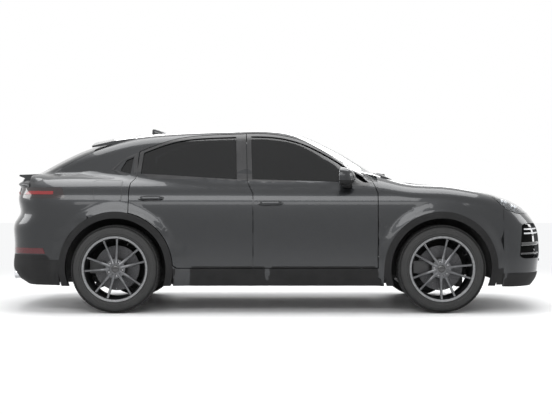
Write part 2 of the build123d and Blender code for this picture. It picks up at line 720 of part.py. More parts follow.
# ---------------------------------------------------------------- tailgate
hatch_depth = 45.0
hatch_shell = long_wall(rear - 60, 800, 73, 186, 700, hatch_depth, sections=15)
rear_glass_shell = long_wall(rear - 60, 800, 80, 150, 620, 6.0, sections=9)
glass_low, glass_high = 1285.0, 1560.0
with BuildPart() as rear_glass_space:
    with BuildSketch(Plane.YZ.offset(tail_x - 50)):
        with BuildLine():
            Polyline((540, glass_low), (490, glass_high), (-490, glass_high), (-540, glass_low), close=True)
        make_face()
    extrude(amount=1800)
with BuildPart() as rear_glass_edge:
    with BuildSketch(Plane.YZ.offset(tail_x - 50)):
        with BuildLine():
            Polyline((538, glass_low + 1), (488, glass_high - 1), (-488, glass_high - 1), (-538, glass_low + 1),
                     close=True)
        make_face()
    extrude(amount=1800)
inner_edge = box((tail_x + 150, tail_x + 400), (-900, 900), (0, 1250)) - box((tail_x, tail_x + 500), (-630, 630), (0, 1300))
light_bar_space = box((tail_x - 50, tail_x + 400), (-672, 672), (lamp_foot + 20, lamp_head - 6))
with BuildPart() as tailgate:
    add(hatch_shell)
    add(hatch_prism(), mode=Mode.INTERSECT)
    add(box((tail_x - 50, hatch_hinge_x - panel_gap), (-800, 800), (hatch_bottom, 1900)), mode=Mode.INTERSECT)
    add(rear_glass_space.part, mode=Mode.SUBTRACT)
    add(inner_edge, mode=Mode.SUBTRACT)
light_bar = end_wall(rear - 350, 180, lamp_foot + 15, lamp_head, 20, sections=5, spread=60)
light_bar = light_bar & box((tail_x - 50, tail_x + 400), (-670, 670), (lamp_foot + 21, lamp_head - 7))
tailgate_body = tailgate.part - (end_wall(rear - 350, 180, lamp_foot + 10, lamp_head + 5, 21, -20, sections=5, spread=60) & light_bar_space)
save(tailgate_body, "tailgate")
save(light_bar, "light_bar")
with BuildPart() as rear_glass:
    add(rear_glass_shell)
    add(rear_glass_edge.part, mode=Mode.INTERSECT)
save(rear_glass.part, "rear_window")

# ---------------------------------------------------------------- rear bumper and tail lamps
valance_top = 470.0
plate_hole_spacing, plate_hole_radius, plate_height = 178.0, 3.0, 690.0   # number plate screws
rear_bumper_all = tail_shell & across_prism(rear_bumper_outline, 0)
with BuildPart() as rear_bumper:
    add(rear_bumper_all)
    for hole in (hatch_prism(panel_gap + 2), rear_arch, right_hand(rear_arch),
                 box((tail_x - 50, rear), (-1200, 1200), (0, valance_top))):
        add(hole, mode=Mode.SUBTRACT)
    with BuildSketch(Plane.YZ.offset(tail_x - 20)):
        with Locations((-plate_hole_spacing / 2, plate_height), (plate_hole_spacing / 2, plate_height)):
            Circle(plate_hole_radius)
    extrude(amount=200, mode=Mode.SUBTRACT)
save(rear_bumper.part, "rear_bumper")
with BuildPart() as valance:
    add(rear_bumper_all)
    add(box((tail_x - 50, rear), (-1200, 1200), (240, valance_top - seat_gap)), mode=Mode.INTERSECT)
    for hole in (rear_arch, right_hand(rear_arch)):
        add(hole, mode=Mode.SUBTRACT)
save(valance.part, "rear_valance")

tail_lamp = tail_shell & side_prism(tail_lamp_outline, 0)
tail_lamp = tail_lamp - hatch_hole
tail_lamp = tail_lamp & box((tail_x - 50, bumper_peak + 60), (300, 1200), (lamp_foot + seat_gap, lamp_head))
save(Part(tail_lamp.solids() + right_hand(tail_lamp).solids()), "tail_lamps")

# ---------------------------------------------------------------- spoilers on the tailgate
spoiler_half = 548.0
deck_spoiler_top = 1247.0
deck_spoiler_half = 628.0
deck_spoiler_sag = 17.0


def crowned(profile, half_span, count=7):
    """A lengthwise profile carried across the car, dropping with the roof's crown."""
    with BuildPart() as strip:
        for y in np.linspace(-half_span, half_span, count):
            with BuildSketch(Plane.XZ.offset(-y)):
                with BuildLine():
                    Polyline(*[(x, z - float(roof_drop(x)) * (y / 600) ** 2) for x, z in profile], close=True)
                make_face()
        loft()
    return strip.part


def roof_at(x):
    return float(roof_line(x)) + (roof_height - 1669.0)


spoiler_nose, spoiler_tip = hatch_hinge_x - 20, rear - 275
roof_spoiler = crowned(
    [(spoiler_nose, roof_at(spoiler_nose) - 6), (spoiler_nose - 4, roof_at(spoiler_nose) + 4), (rear - 80, roof_at(rear - 80) + 26),
     (spoiler_tip, roof_at(spoiler_tip) + 44), (spoiler_tip + 6, roof_at(spoiler_tip) + 28),
     (rear - 60, roof_at(rear - 60) - 6)], spoiler_half)
hatch_solid = long_wall(rear - 60, 800, 73, 186, 700, hatch_depth, -seat_gap, sections=15)
spoiler_pieces = (roof_spoiler - hatch_solid).solids()
save(Part([max(spoiler_pieces, key=lambda solid: solid.volume)]), "roof_spoiler")

with BuildPart() as deck_spoiler:
    for y in np.linspace(-deck_spoiler_half, deck_spoiler_half, 7):
        sag = deck_spoiler_sag * (y / deck_spoiler_half) ** 2
        lip = tail_x + 72 + float(bow(y, 110, 220))
        with BuildSketch(Plane.XZ.offset(-y)):
            with BuildLine():
                Polyline((lip - 20, deck_spoiler_top - sag), (lip - 26, deck_spoiler_top - 12 - sag),
                         (lip + 60, deck_spoiler_top - 44 - sag), (lip + 190, deck_spoiler_top - 26 - sag),
                         (lip + 190, deck_spoiler_top + 1 - sag), (lip + 120, deck_spoiler_top + 4 - sag), close=True)
            make_face()
    loft()
deck_pieces = (deck_spoiler.part - hatch_solid).solids()
save(Part([max(deck_pieces, key=lambda solid: solid.volume)]), "deck_spoiler")

# ---------------------------------------------------------------- wheel arch and sill trim
arch_pieces = []
for axle, shell, edge_hole in ((front, fender_shell, front_hole), (rear, body_shell, rear_hole)):
    with BuildPart() as ring:
        with BuildSketch(side_face):
            with Locations((axle, tyre_radius)):
                Circle(flare_radius)
                Circle(arch_radius, mode=Mode.SUBTRACT)
        extrude(amount=side_reach - 330)
    arch = shell & ring.part
    arch = arch & box((axle - 600, axle + 600), (0, 1200), (sill_height, 1200))
    arch = arch - edge_hole
    arch_pieces += arch.solids()
save_pair(Part(arch_pieces), "arch_trim")

# ---------------------------------------------------------------- wheels
front_track, rear_track = 1680.0, 1673.0
front_tyre_width, rear_tyre_width = 285.0, 315.0
rim_radius = 292.0
bead_radius = 279.0
hub_face = 58.0                # blind end of the hub's bore, out from the wheel's middle
spindle_radius = 30.0
spindle_gap = 0.5
disc_radius = 200.0
kingpin_offset = 72.0          # steering axis, in from the wheel's middle
joint_drop = 150.0             # lower ball joint, below the axle
joint_radius = 18.0
spoke_count = 10
bolt_circle, bolt_count, bolt_hole_radius = 130.0, 5, 7.5


def tyre_part(width):
    """A tyre about its own axle, in the plane y = 0, with y outwards."""
    w, t = width / 2, tyre_radius
    with BuildPart() as tyre:
        with BuildSketch(Plane.XY):
            with BuildLine():
                Polyline((bead_radius + seat_gap, -w + 15), (bead_radius + 13, -w + 15), (bead_radius + 24, -w + 4),
                         (t - 58, -w), (t - 26, -w + 8))
                Spline((t - 26, -w + 8), (t - 8, -w + 22), (t - 1, -w + 60), (t, 0), (t - 1, w - 60), (t - 8, w - 22),
                       (t - 26, w - 8))
                Polyline((t - 26, w - 8), (t - 58, w), (bead_radius + 24, w - 4), (bead_radius + 13, w - 15),
                         (bead_radius + seat_gap, w - 15),
                         (bead_radius + seat_gap, w - 34), (bead_radius + 22, w - 30), (t - 34, w - 34),
                         (t - 20, 0), (t - 34, -w + 34), (bead_radius + 22, -w + 30), (bead_radius + seat_gap, -w + 34),
                         (bead_radius + seat_gap, -w + 15))
            make_face()
        revolve(axis=Axis.Y)
    return tyre.part


def rim_part(width):
    """A rim with ten thin spokes about its own axle, with y outwards."""
    w = width / 2 - 14
    with BuildPart() as rim:
        with BuildSketch(Plane.XY):
            with BuildLine():
                Polyline((bead_radius, -w), (bead_radius + 12, -w), (bead_radius + 12, -w - 8), (bead_radius - 10, -w - 8),
                         (bead_radius - 24, -w + 40), (bead_radius - 24, w - 44), (bead_radius - 8, w + 8),
                         (bead_radius + 12, w + 8), (bead_radius + 12, w), (bead_radius, w),
                         (bead_radius - 14, w - 40), (bead_radius - 14, -w + 40), close=True)
            make_face()
            with BuildLine():
                Polyline((spindle_radius + spindle_gap, 6), (88, 6), (88, w - 42), (78, w - 32), (0, w - 32),
                         (0, hub_face), (spindle_radius + spindle_gap, hub_face), close=True)
            make_face()
        revolve(axis=Axis.Y)
        for pair in range(spoke_count // 2):
            for side in (1, -1):
                centre = pair * 72
                inner, outer = math.radians(centre + side * 16), math.radians(centre + side * 13)
                far = bead_radius - 18
                with BuildSketch(Plane.XZ.offset(-(w - 30))):
                    with BuildLine():
                        direct = Vector(math.cos(outer), math.sin(outer))
                        across = Vector(-direct.Y, direct.X)
                        start = Vector(math.cos(inner), math.sin(inner)) * 62
                        end = direct * far
                        Polyline(start + across * 15, end + across * 10, end - across * 10, start - across * 15,
                                 close=True)
                    make_face()
                extrude(amount=34)
        with BuildSketch(Plane.XZ.offset(-w)):
            with PolarLocations(bolt_circle / 2, bolt_count, 36):
                Circle(bolt_hole_radius)
        extrude(amount=2 * w, mode=Mode.SUBTRACT)
    return rim.part


def disc_part():
    """A brake disc with its bell."""
    with BuildPart() as disc:
        with BuildSketch(Plane.XY):
            with BuildLine():
                Polyline((spindle_radius + spindle_gap, -8), (spindle_radius + spindle_gap, 5.5), (84, 5.5), (84, -14),
                         (disc_radius, -14), (disc_radius, -48), (110, -48), (110, -24), (74, -24), (74, -8),
                         close=True)
            make_face()
        revolve(axis=Axis.Y)
        with BuildSketch(Plane.XZ.offset(-20)):
            with PolarLocations(bolt_circle / 2, bolt_count, 36):
                Circle(bolt_hole_radius)
        extrude(amount=60, mode=Mode.SUBTRACT)
    return disc.part


def knuckle_part():
    """A wheel carrier with its spindle, swivel arms and brake caliper, about its wheel's middle."""
    with BuildPart() as knuckle:
        with Locations((-175, -31, 10)):
            Box(130, 84, 110)
        with BuildSketch(Plane.XZ.offset(8)):
            Circle(disc_radius + 7)
        extrude(amount=46, mode=Mode.SUBTRACT)
        with BuildSketch(Plane.XZ.offset(-(hub_face - 4))):
            Circle(spindle_radius)
        extrude(amount=hub_face - 4 + kingpin_offset)
        with BuildSketch(Plane.XZ.offset(kingpin_offset - 16)):
            Circle(50)
        extrude(amount=40)
        with Locations((0, -kingpin_offset, 0)):
            Box(60, 32, 2 * joint_drop)
        with Locations((0, -kingpin_offset, 10 - joint_drop)):
            Cylinder(joint_radius, 20)
        with Locations((-110, -64, 10)):
            Box(190, 16, 70)
    return knuckle.part


corners = {"front_left": (front, front_track / 2, front_tyre_width), "front_right": (front, -front_track / 2, front_tyre_width),
           "rear_left": (rear, rear_track / 2, rear_tyre_width), "rear_right": (rear, -rear_track / 2, rear_tyre_width)}
tyres = {width: tyre_part(width) for width in (front_tyre_width, rear_tyre_width)}
rims = {width: rim_part(width) for width in (front_tyre_width, rear_tyre_width)}
disc = disc_part()
knuckle = knuckle_part()


def placed(part, corner):
    """A left-hand wheel piece moved to its corner, mirrored on the right."""
    x, y, _ = corners[corner]
    moved = part.moved(Location((x, abs(y), tyre_radius)))
    return moved if y > 0 else right_hand(moved)


for corner, (x, y, width) in corners.items():
    save(placed(tyres[width], corner), f"{corner}_tyre")
    save(placed(Part(rims[width].solids() + disc.solids()), corner), f"{corner}_wheel")
    save(placed(knuckle, corner), f"{corner}_knuckle")

# ---------------------------------------------------------------- underbody, engine and running gear
floor_low, floor_high = sill_height + 8, sill_height + 40
tunnel_half, tunnel_top = 150.0, 430.0
rail_heights = (470.0, 560.0)
well_inner = 455.0             # how far in the front wheel wells reach, from the middle
rear_well_inner = 560.0
floor_front, floor_back = firewall_x - 40, tail_x + 270
well_radius = arch_radius + 8
sill_stations = [(x, 0, floor_low) for x in np.linspace(rear + arch_radius, front - arch_radius, 12)]
sill_inner = surface(*rays(sill_stations, [(0, 1, 0)] * 12), body_depth)
floor_half = float(sill_inner[:, 1].min()) - seat_gap


def well_shell(axle, y_inner, y_outer):
    """The liner over one wheel, on the left."""
    with BuildPart() as liner:
        with BuildSketch(Plane.XZ.offset(-y_outer)):
            with Locations((axle, tyre_radius)):
                Circle(well_radius + 6)
                Circle(well_radius, mode=Mode.SUBTRACT)
        extrude(amount=y_outer - y_inner)
        with BuildSketch(Plane.XZ.offset(-y_inner - 8)):
            with Locations((axle, tyre_radius)):
                Circle(well_radius + 6)
        extrude(amount=8)
        add(box((axle - 900, axle + 900), (0, 1200), (-100, tyre_radius - 90)), mode=Mode.SUBTRACT)
    return liner.part


with BuildPart() as underbody:
    add(box((rear + well_radius + 20, floor_front), (-floor_half, floor_half), (floor_low, floor_high)))
    add(box((floor_back, rear + well_radius + 30), (-rear_well_inner, rear_well_inner), (floor_low, floor_high)))
    add(box((floor_back + 60, firewall_x - 8), (-tunnel_half, tunnel_half), (floor_low, tunnel_top)))
    add(box((floor_back - 100, firewall_x + 200), (-tunnel_half + 20, tunnel_half - 20), (0, tunnel_top - 20)),
        mode=Mode.SUBTRACT)
    add(box((firewall_x, firewall_x + 16), (-690, 690), (floor_low, 1080)))
    add(box((floor_front - 10, firewall_x + 10), (-690, 690), (floor_low, floor_high)))
    for side in (1, -1):
        add(box((firewall_x, front + 745), (side * (well_inner - 35) - 35, side * (well_inner - 35) + 35),
                rail_heights))
        add(box((rear - 640, rear + 620),
                (side * (rear_well_inner - 40) - 40, side * (rear_well_inner - 40) + 40), (floor_low + 10, 330)))
    for axle in (front, rear):
        add(box((axle - well_radius, axle + well_radius), (well_inner if axle == front else rear_well_inner, 1200),
                (-100, 640)), mode=Mode.SUBTRACT)
        add(box((axle - well_radius, axle + well_radius),
                (-1200, -(well_inner if axle == front else rear_well_inner)), (-100, 640)), mode=Mode.SUBTRACT)
save(underbody.part, "underbody")

liners = [well_shell(front, well_inner + seat_gap, 866), well_shell(rear, rear_well_inner + seat_gap, 858)]
save(Part([solid for liner in liners for copy in (liner, right_hand(liner)) for solid in copy.solids()]),
     "wheel_wells")

frame_low, frame_high = 190.0, 262.0
joint_height = tyre_radius - joint_drop
arm_heights = (joint_height - 20 - seat_gap, joint_height - seat_gap)
with BuildPart() as engine:
    add(box((front - 420, front + 260), (-300, 300), (frame_high + seat_gap, 900)))
    fillet(engine.edges().filter_by(Axis.Z), 40)
save(engine.part, "engine")


def subframe(axle, half_length, half_width, joint_y, mount_y, mount_top, frame_high):
    """A frame under one axle, its arms out to the ball joints and its mounts up to the body's rails."""
    with BuildPart() as frame:
        add(box((axle - half_length, axle + half_length), (-half_width, half_width), (frame_low, frame_high)))
        for side in (1, -1):
            near, far = sorted((side * (half_width - 40), side * joint_y))
            add(box((axle - joint_radius, axle + joint_radius), (near, far), arm_heights))
            with Locations((axle, side * joint_y, sum(arm_heights) / 2)):
                Cylinder(joint_radius, arm_heights[1] - arm_heights[0])
            for end in (1, -1):
                x = axle + end * (half_length - 30)
                add(box((x - 28, x + 28), sorted((side * (half_width - 20), side * (mount_y + 25))),
                        (frame_low, frame_high)))
                add(box((x - 28, x + 28), (side * mount_y - 25, side * mount_y + 25),
                        (frame_low, mount_top - seat_gap)))
    return frame.part


save(subframe(front, 270, 320, front_track / 2 - kingpin_offset, well_inner - 35, rail_heights[0],
              frame_high), "front_subframe")
save(subframe(rear, 240, 400, rear_track / 2 - kingpin_offset, rear_well_inner - 40, floor_low,
              floor_low - seat_gap), "rear_subframe")

# ---------------------------------------------------------------- cabin
seat_y = 390.0
wheel_rake = math.radians(24)
column_gap = 60.0              # from the steering wheel's plane to the end of its column's shroud
steering_centre = Vector(firewall_x - 460, seat_y, 985)
column_plane = Plane(origin=steering_centre, x_dir=(0, 1, 0),
                     z_dir=(-math.cos(wheel_rake), 0, math.sin(wheel_rake)))
with BuildPart() as dashboard:
    with BuildSketch(Plane.XZ.offset(-690)):
        with BuildLine():
            Polyline((firewall_x - seat_gap, 1075), (firewall_x - 120, 1100), (firewall_x - 330, 1040),
                     (firewall_x - 345, 960), (firewall_x - 250, 860), (firewall_x - 200, 720),
                     (firewall_x - seat_gap, 700), close=True)
        make_face()
    extrude(amount=1380)
    with BuildSketch(column_plane.offset(-column_gap - seat_gap)):
        Circle(38)
    extrude(amount=-130)
save(dashboard.part, "dashboard")

console_top = 640.0
console_half = 140.0
with BuildPart() as console:
    add(box((mid - 250, firewall_x - 215), (-console_half, console_half), (tunnel_top + seat_gap, console_top)))
    fillet(console.edges().filter_by(Axis.Y), 20)
save(console.part, "centre_console")

def seat_solids(x_back, width, y_middle, floor):
    """A plain closed seat: base, cushion and leaning back in one solid."""
    with BuildPart() as seat:
        with BuildSketch(Plane.XZ.offset(-(y_middle + width / 2))):
            with BuildLine():
                Polyline((x_back + 60, floor), (x_back + 480, floor), (x_back + 560, floor + 150), (x_back + 560, floor + 300),
                         (x_back + 90, floor + 270), (x_back - 120, floor + 820), (x_back - 130, floor + 930),
                         (x_back - 220, floor + 930), (x_back - 240, floor + 800), (x_back - 60, floor + 200),
                         close=True)
            make_face()
        extrude(amount=width)
    return seat.part


seat_floor = floor_high + seat_gap
driver_seat = seat_solids(mid - 150, 470, seat_y, seat_floor)
save(Part(driver_seat.solids() + right_hand(driver_seat).solids()), "front_seats")
bench = seat_solids(rear + 420, 1100, 0, tunnel_top + seat_gap)
save(bench, "rear_seat")

with BuildPart() as steering_wheel:
    with BuildSketch(Plane(origin=column_plane.from_local_coords((180, 0, 0)), x_dir=column_plane.z_dir,
                           z_dir=column_plane.y_dir)):
        Circle(15)
    revolve(axis=Axis(column_plane.origin, column_plane.z_dir))
    with BuildSketch(column_plane.offset(-30)):
        Circle(55)
        for turn in (0, 180, 270):
            with Locations(Vector(110, 0).rotate(Axis.Z, turn)):
                Rectangle(140, 36, rotation=turn)
    extrude(amount=30)
    with BuildSketch(column_plane.offset(-column_gap)):
        Circle(24)
    extrude(amount=column_gap - 28)
save(steering_wheel.part, "steering_wheel")

# ---------------------------------------------------------------- door mirrors
mirror_x, mirror_z = front - 900, 1235.0
with BuildPart() as door_mirror:
    with BuildSketch(Plane.YZ.offset(mirror_x)):
        with Locations((985, mirror_z - 30)):
            RectangleRounded(190, 150, 50)
    with BuildSketch(Plane.YZ.offset(mirror_x + 75)):
        with Locations((980, mirror_z - 34)):
            RectangleRounded(170, 130, 45)
    with BuildSketch(Plane.YZ.offset(mirror_x + 120)):
        with Locations((970, mirror_z - 38)):
            RectangleRounded(110, 80, 36)
    loft()
    add(box((mirror_x + 20, mirror_x + 90), (850, 940), (1096, 1180)))
mirror_door = side_wall(rear - 830, door_front + 90, door_thickness, -seat_gap)
save_pair(door_mirror.part - mirror_door, "door_mirror")
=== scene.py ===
import json
import math
import bmesh
import bpy
import numpy as np
from mathutils import Matrix, Vector
from mathutils.geometry import delaunay_2d_cdt


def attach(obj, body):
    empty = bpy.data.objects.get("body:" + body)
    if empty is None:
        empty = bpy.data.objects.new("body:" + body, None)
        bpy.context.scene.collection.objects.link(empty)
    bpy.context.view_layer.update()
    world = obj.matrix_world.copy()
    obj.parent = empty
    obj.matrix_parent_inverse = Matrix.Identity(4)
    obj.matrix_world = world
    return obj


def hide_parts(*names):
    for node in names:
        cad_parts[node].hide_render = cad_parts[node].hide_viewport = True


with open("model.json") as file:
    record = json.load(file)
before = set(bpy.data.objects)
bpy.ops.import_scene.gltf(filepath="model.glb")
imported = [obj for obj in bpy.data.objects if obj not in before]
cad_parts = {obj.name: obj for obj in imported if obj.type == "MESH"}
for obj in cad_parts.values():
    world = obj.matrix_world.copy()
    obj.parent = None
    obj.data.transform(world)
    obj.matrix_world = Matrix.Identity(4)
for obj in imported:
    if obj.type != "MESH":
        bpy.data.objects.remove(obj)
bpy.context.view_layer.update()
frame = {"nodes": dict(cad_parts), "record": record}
scene = bpy.context.scene
nodes = frame["nodes"]

# ---------------------------------------------------------------- driving dimensions
front_mm, rear_mm = 1460.0, -1435.0      # axles
nose_mm, tail_mm = 2465.0, -2465.0
mid_mm = (front_mm + rear_mm) / 2
half_mm = 940.0                          # half the width over the doors
tyre_mm, flare_mm = 390.0, 508.0         # radii of the tyres and of the swollen arches
front, rear, tyre_radius = front_mm / 1000, rear_mm / 1000, tyre_mm / 1000


# ---------------------------------------------------------------- the body's form, in mm
class Curve:
    """A natural cubic through a few points, straight beyond both ends."""

    def __init__(self, *points):
        self.x = np.array([p[0] for p in points], float)
        self.y = np.array([p[1] for p in points], float)
        count = len(self.x)
        self.h = np.diff(self.x)
        slope = np.diff(self.y) / self.h
        matrix = np.eye(count)
        right = np.zeros(count)
        for i in range(1, count - 1):
            left_h, right_h = self.h[i - 1], self.h[i]
            matrix[i, i - 1 : i + 2] = left_h, 2 * (left_h + right_h), right_h
            right[i] = 6 * (slope[i] - slope[i - 1])
        self.m = np.linalg.solve(matrix, right)
        self.start = slope[0] - self.h[0] * self.m[1] / 6
        self.end = slope[-1] + self.h[-1] * self.m[-2] / 6

    def __call__(self, at):
        at = np.asarray(at, float)
        i = np.clip(np.searchsorted(self.x, at) - 1, 0, len(self.h) - 1)
        h, m0, m1 = self.h[i], self.m[i], self.m[i + 1]
        past = np.clip(at, self.x[0], self.x[-1]) - self.x[i]
        left = h - past
        inside = (m0 * left**3 + m1 * past**3) / (6 * h)
        inside = inside + (self.y[i] / h - m0 * h / 6) * left
        inside = inside + (self.y[i + 1] / h - m1 * h / 6) * past
        before, after = np.minimum(at - self.x[0], 0), np.maximum(at - self.x[-1], 0)
        return inside + before * self.start + after * self.end


plan_line = Curve((tail_mm, half_mm - 150), (rear_mm - 700, half_mm - 45), (rear_mm - 350, half_mm + 8),
                  (rear_mm, half_mm + 18), (rear_mm + 500, half_mm + 4), (mid_mm, half_mm),
                  (front_mm - 500, half_mm + 1), (front_mm, half_mm + 14), (front_mm + 450, half_mm - 22),
                  (front_mm + 730, half_mm - 80), (nose_mm, half_mm - 175))
section_line = Curve((235, 56), (400, 22), (560, 9), (720, 2), (880, 0), (980, 6), (1050, 24),
                     (1110, 58), (1160, 100), (1240, 190))
deck_line = Curve((tail_mm, 1236), (rear_mm - 500, 1248), (rear_mm + 300, 1262), (front_mm - 500, 1235),
                  (front_mm - 300, 1178), (front_mm, 1152), (front_mm + 300, 1113), (front_mm + 450, 1087),
                  (front_mm + 600, 1050), (front_mm + 740, 1003), (front_mm + 840, 955),
                  (front_mm + 920, 900), (front_mm + 975, 842), (nose_mm, 795))
deck_drop = Curve((tail_mm, 12), (rear_mm, 16), (front_mm - 400, 26), (front_mm, 20), (front_mm + 300, 24),
                  (front_mm + 600, 50), (front_mm + 800, 84), (nose_mm, 110))
nose_line = Curve((200, nose_mm - 105), (300, nose_mm - 32), (400, nose_mm - 14), (500, nose_mm),
                  (620, nose_mm - 4), (760, nose_mm - 14), (900, nose_mm - 50))
tail_line = Curve((230, tail_mm + 150), (290, tail_mm + 60), (480, tail_mm + 4), (700, tail_mm),
                  (790, tail_mm + 8), (870, tail_mm + 55), (1000, tail_mm + 42), (1100, tail_mm + 58),
                  (1236, tail_mm + 62))
cabin_line = Curve((rear_mm - 760, 640), (rear_mm - 300, 725), (rear_mm + 100, 802), (rear_mm + 550, 843),
                   (mid_mm - 100, 860), (front_mm - 960, 853), (front_mm - 600, 822), (front_mm - 350, 775))
lean_line = Curve((-300, 190), (-100, 28), (0, 0), (100, 39), (200, 84), (300, 135), (400, 192), (470, 240),
                  (530, 290))
roof_line = Curve((rear_mm - 785, 1285), (rear_mm - 415, 1470), (rear_mm - 165, 1550), (rear_mm + 65, 1605),
                  (rear_mm + 375, 1640), (rear_mm + 825, 1662), (rear_mm + 1095, 1669),
                  (front_mm - 1310, 1641), (front_mm - 1160, 1592), (front_mm - 1000, 1520),
                  (front_mm - 850, 1443), (front_mm - 550, 1259), (front_mm - 410, 1168))
roof_drop = Curve((rear_mm - 785, 100), (rear_mm - 415, 84), (rear_mm + 65, 60), (rear_mm + 825, 50),
                  (front_mm - 1460, 52), (front_mm - 1160, 66), (front_mm - 850, 92), (front_mm - 410, 124))


def smooth_max(a, b, width):
    """The greater of a and b, rounded where they are closer than width."""
    h = np.maximum(width - np.abs(a - b), 0.0) / width
    return np.maximum(a, b) + h * h * width / 4


def bow(y, middle, corner):
    """How far the nose or tail falls back at a distance y from the middle."""
    out = np.abs(y) / 1000.0
    return middle * out**2 + corner * out**6


def flare(x, z, reach=95.0, run=110.0, height=27.0):
    """The swelling over the wheels: full inside the arches, gone at reach past them."""
    swell = 0.0
    for axle in (front_mm, rear_mm):
        r = np.hypot(x - axle, z - tyre_mm)
        t = np.clip((flare_mm + reach - r) / run, 0, 1)
        swell = swell + t * t * (3 - 2 * t)
    return height * swell


def form(points):
    """Below zero inside the closed body; points are rows of x, y, z in mm."""
    x, y, z = points[..., 0], points[..., 1], points[..., 2]
    out = np.abs(y)
    side = out - (plan_line(x) - section_line(z) + flare(x, z) * np.clip((1150 - z) / 300, 0, 1))
    top = z - (deck_line(x) - deck_drop(x) * (y / 700) ** 2)
    lower = smooth_max(side, top, 120)
    lower = smooth_max(lower, x - (nose_line(z) - bow(y, 140, 250)), 170)
    lower = smooth_max(lower, tail_line(z) + bow(y, 110, 220) - x, 120)
    glass = out - (cabin_line(x) - lean_line(z - 1150.0))
    roof = z - roof_line(x) + roof_drop(x) * (y / 600) ** 2
    cabin = smooth_max(smooth_max(glass, roof, 70), tail_line(z) + bow(y, 110, 220) + 40 - x, 40)
    return -smooth_max(-lower, -cabin, 26)


def slope_of(points):
    """The form's gradient in its points, one row each."""
    slopes = []
    for axis in range(3):
        move = np.zeros(3)
        move[axis] = 2.0
        slopes.append((form(points + move) - form(points - move)) / 4.0)
    return np.stack(slopes, -1)


def skin(origin, direction, lift, reach=2.6):
    """Points in metres where rays leave the body, moved out along its skin's normal by lift metres."""
    origin = np.asarray(origin, float) * 1000
    direction = np.broadcast_to(np.asarray(direction, float), origin.shape)
    low = np.zeros(len(origin))
    high = np.full(len(origin), reach * 1000)
    for _ in range(34):
        middle = (low + high) / 2
        inside = form(origin + middle[:, None] * direction) < 0
        low, high = np.where(inside, middle, low), np.where(inside, high, middle)
    points = origin + low[:, None] * direction
    normal = slope_of(points)
    normal /= np.linalg.norm(normal, axis=1)[:, None]
    return (points / 1000 + normal * lift), normal


# ---------------------------------------------------------------- materials
class Look:
    """A material with one Principled shader, and the textures that drive it in object coordinates."""

    def __init__(self, name, color, rough=0.5, metal=0.0, **sockets):
        self.material = bpy.data.materials.new(name)
        self.material.use_nodes = True
        self.material.diffuse_color = (*color, 1)
        self.nodes, self.links = self.material.node_tree.nodes, self.material.node_tree.links
        self.surface = self.nodes["Principled BSDF"]
        self.set(self.surface, Base_Color=(*color, 1), Roughness=rough, Metallic=metal, **sockets)
        self.place = self.nodes.new("ShaderNodeTexCoord").outputs["Object"]

    def set(self, node, **sockets):
        """Values for a node's sockets; a low line in a name stands for a space."""
        for socket, value in sockets.items():
            node.inputs[socket.replace("_", " ")].default_value = value

    def texture(self, kind, output, **sockets):
        """A texture node's output."""
        node = self.nodes.new(kind)
        self.set(node, **sockets)
        self.links.new(self.place, node.inputs["Vector"])
        return node.outputs[output]

    def noise(self, scale, detail=2.0, rough=0.5):
        return self.texture("ShaderNodeTexNoise", "Fac", Scale=scale, Detail=detail, Roughness=rough)

    def cells(self, scale, output="Distance"):
        return self.texture("ShaderNodeTexVoronoi", output, Scale=scale)

    def tint(self, value, low, high, stops=(0.3, 0.7)):
        """The base colour runs from low to high as value passes the two stops."""
        node = self.nodes.new("ShaderNodeValToRGB")
        for element, stop, color in zip(node.color_ramp.elements, stops, (low, high)):
            element.position, element.color = stop, (*color, 1)
        self.links.new(value, node.inputs["Fac"])
        self.links.new(node.outputs["Color"], self.surface.inputs["Base Color"])

    def roughen(self, value, low, high):
        """The roughness is value mapped from 0..1 to low..high."""
        node = self.nodes.new("ShaderNodeMapRange")
        self.set(node, To_Min=low, To_Max=high)
        self.links.new(value, node.inputs["Value"])
        self.links.new(node.outputs["Result"], self.surface.inputs["Roughness"])

    def bump(self, value, strength, distance, socket="Normal"):
        node = self.nodes.new("ShaderNodeBump")
        self.set(node, Strength=strength, Distance=distance)
        self.links.new(value, node.inputs["Height"])
        self.links.new(node.outputs["Normal"], self.surface.inputs[socket])


def make_paint():
    look = Look("metallic_paint", (0.03, 0.031, 0.034), 0.34, 0.8, Coat_Weight=1.0, Coat_Roughness=0.04,
                Coat_IOR=1.38)
    flakes = look.cells(1400, "Color")
    look.tint(flakes, (0.0138, 0.0147, 0.016), (0.034, 0.0357, 0.0383), (0.1, 0.9))
    look.roughen(look.noise(9), 0.28, 0.38)
    look.bump(look.noise(260, 1.0), 0.02, 0.0006, "Coat Normal")
    return look.material


def grained(name, color, rough, scale=900.0, depth=0.0003, strength=0.35, **sockets):
    """A moulded surface with a fine grain and faint wear."""
    look = Look(name, color, rough, **sockets)
    worn = look.noise(7, 4.0)
    look.tint(worn, color, [min(1.0, c * 1.5 + 0.004) for c in color], (0.35, 0.8))
    look.roughen(worn, rough - 0.06, rough + 0.08)
    look.bump(look.cells(scale), strength, depth)
    return look.material


def make_glass(name, color, through):
    """Tinted glass: dark, clear enough to see in, with a faint uneven gloss."""
    look = Look(name, color, 0.0, IOR=1.45, Transmission_Weight=through, Specular_IOR_Level=0.3)
    cloud = look.noise(3)
    look.tint(cloud, [c * 0.85 for c in color], color)
    look.roughen(cloud, 0.0, 0.02)
    return look.material


def make_rubber(name, color, rough):
    look = Look(name, color, rough)
    dust = look.noise(14, 5.0, 0.6)
    look.tint(dust, color, [c * 1.7 for c in color], (0.4, 0.75))
    look.roughen(dust, rough - 0.07, rough + 0.1)
    look.bump(look.noise(900), 0.25, 0.0004)
    return look.material


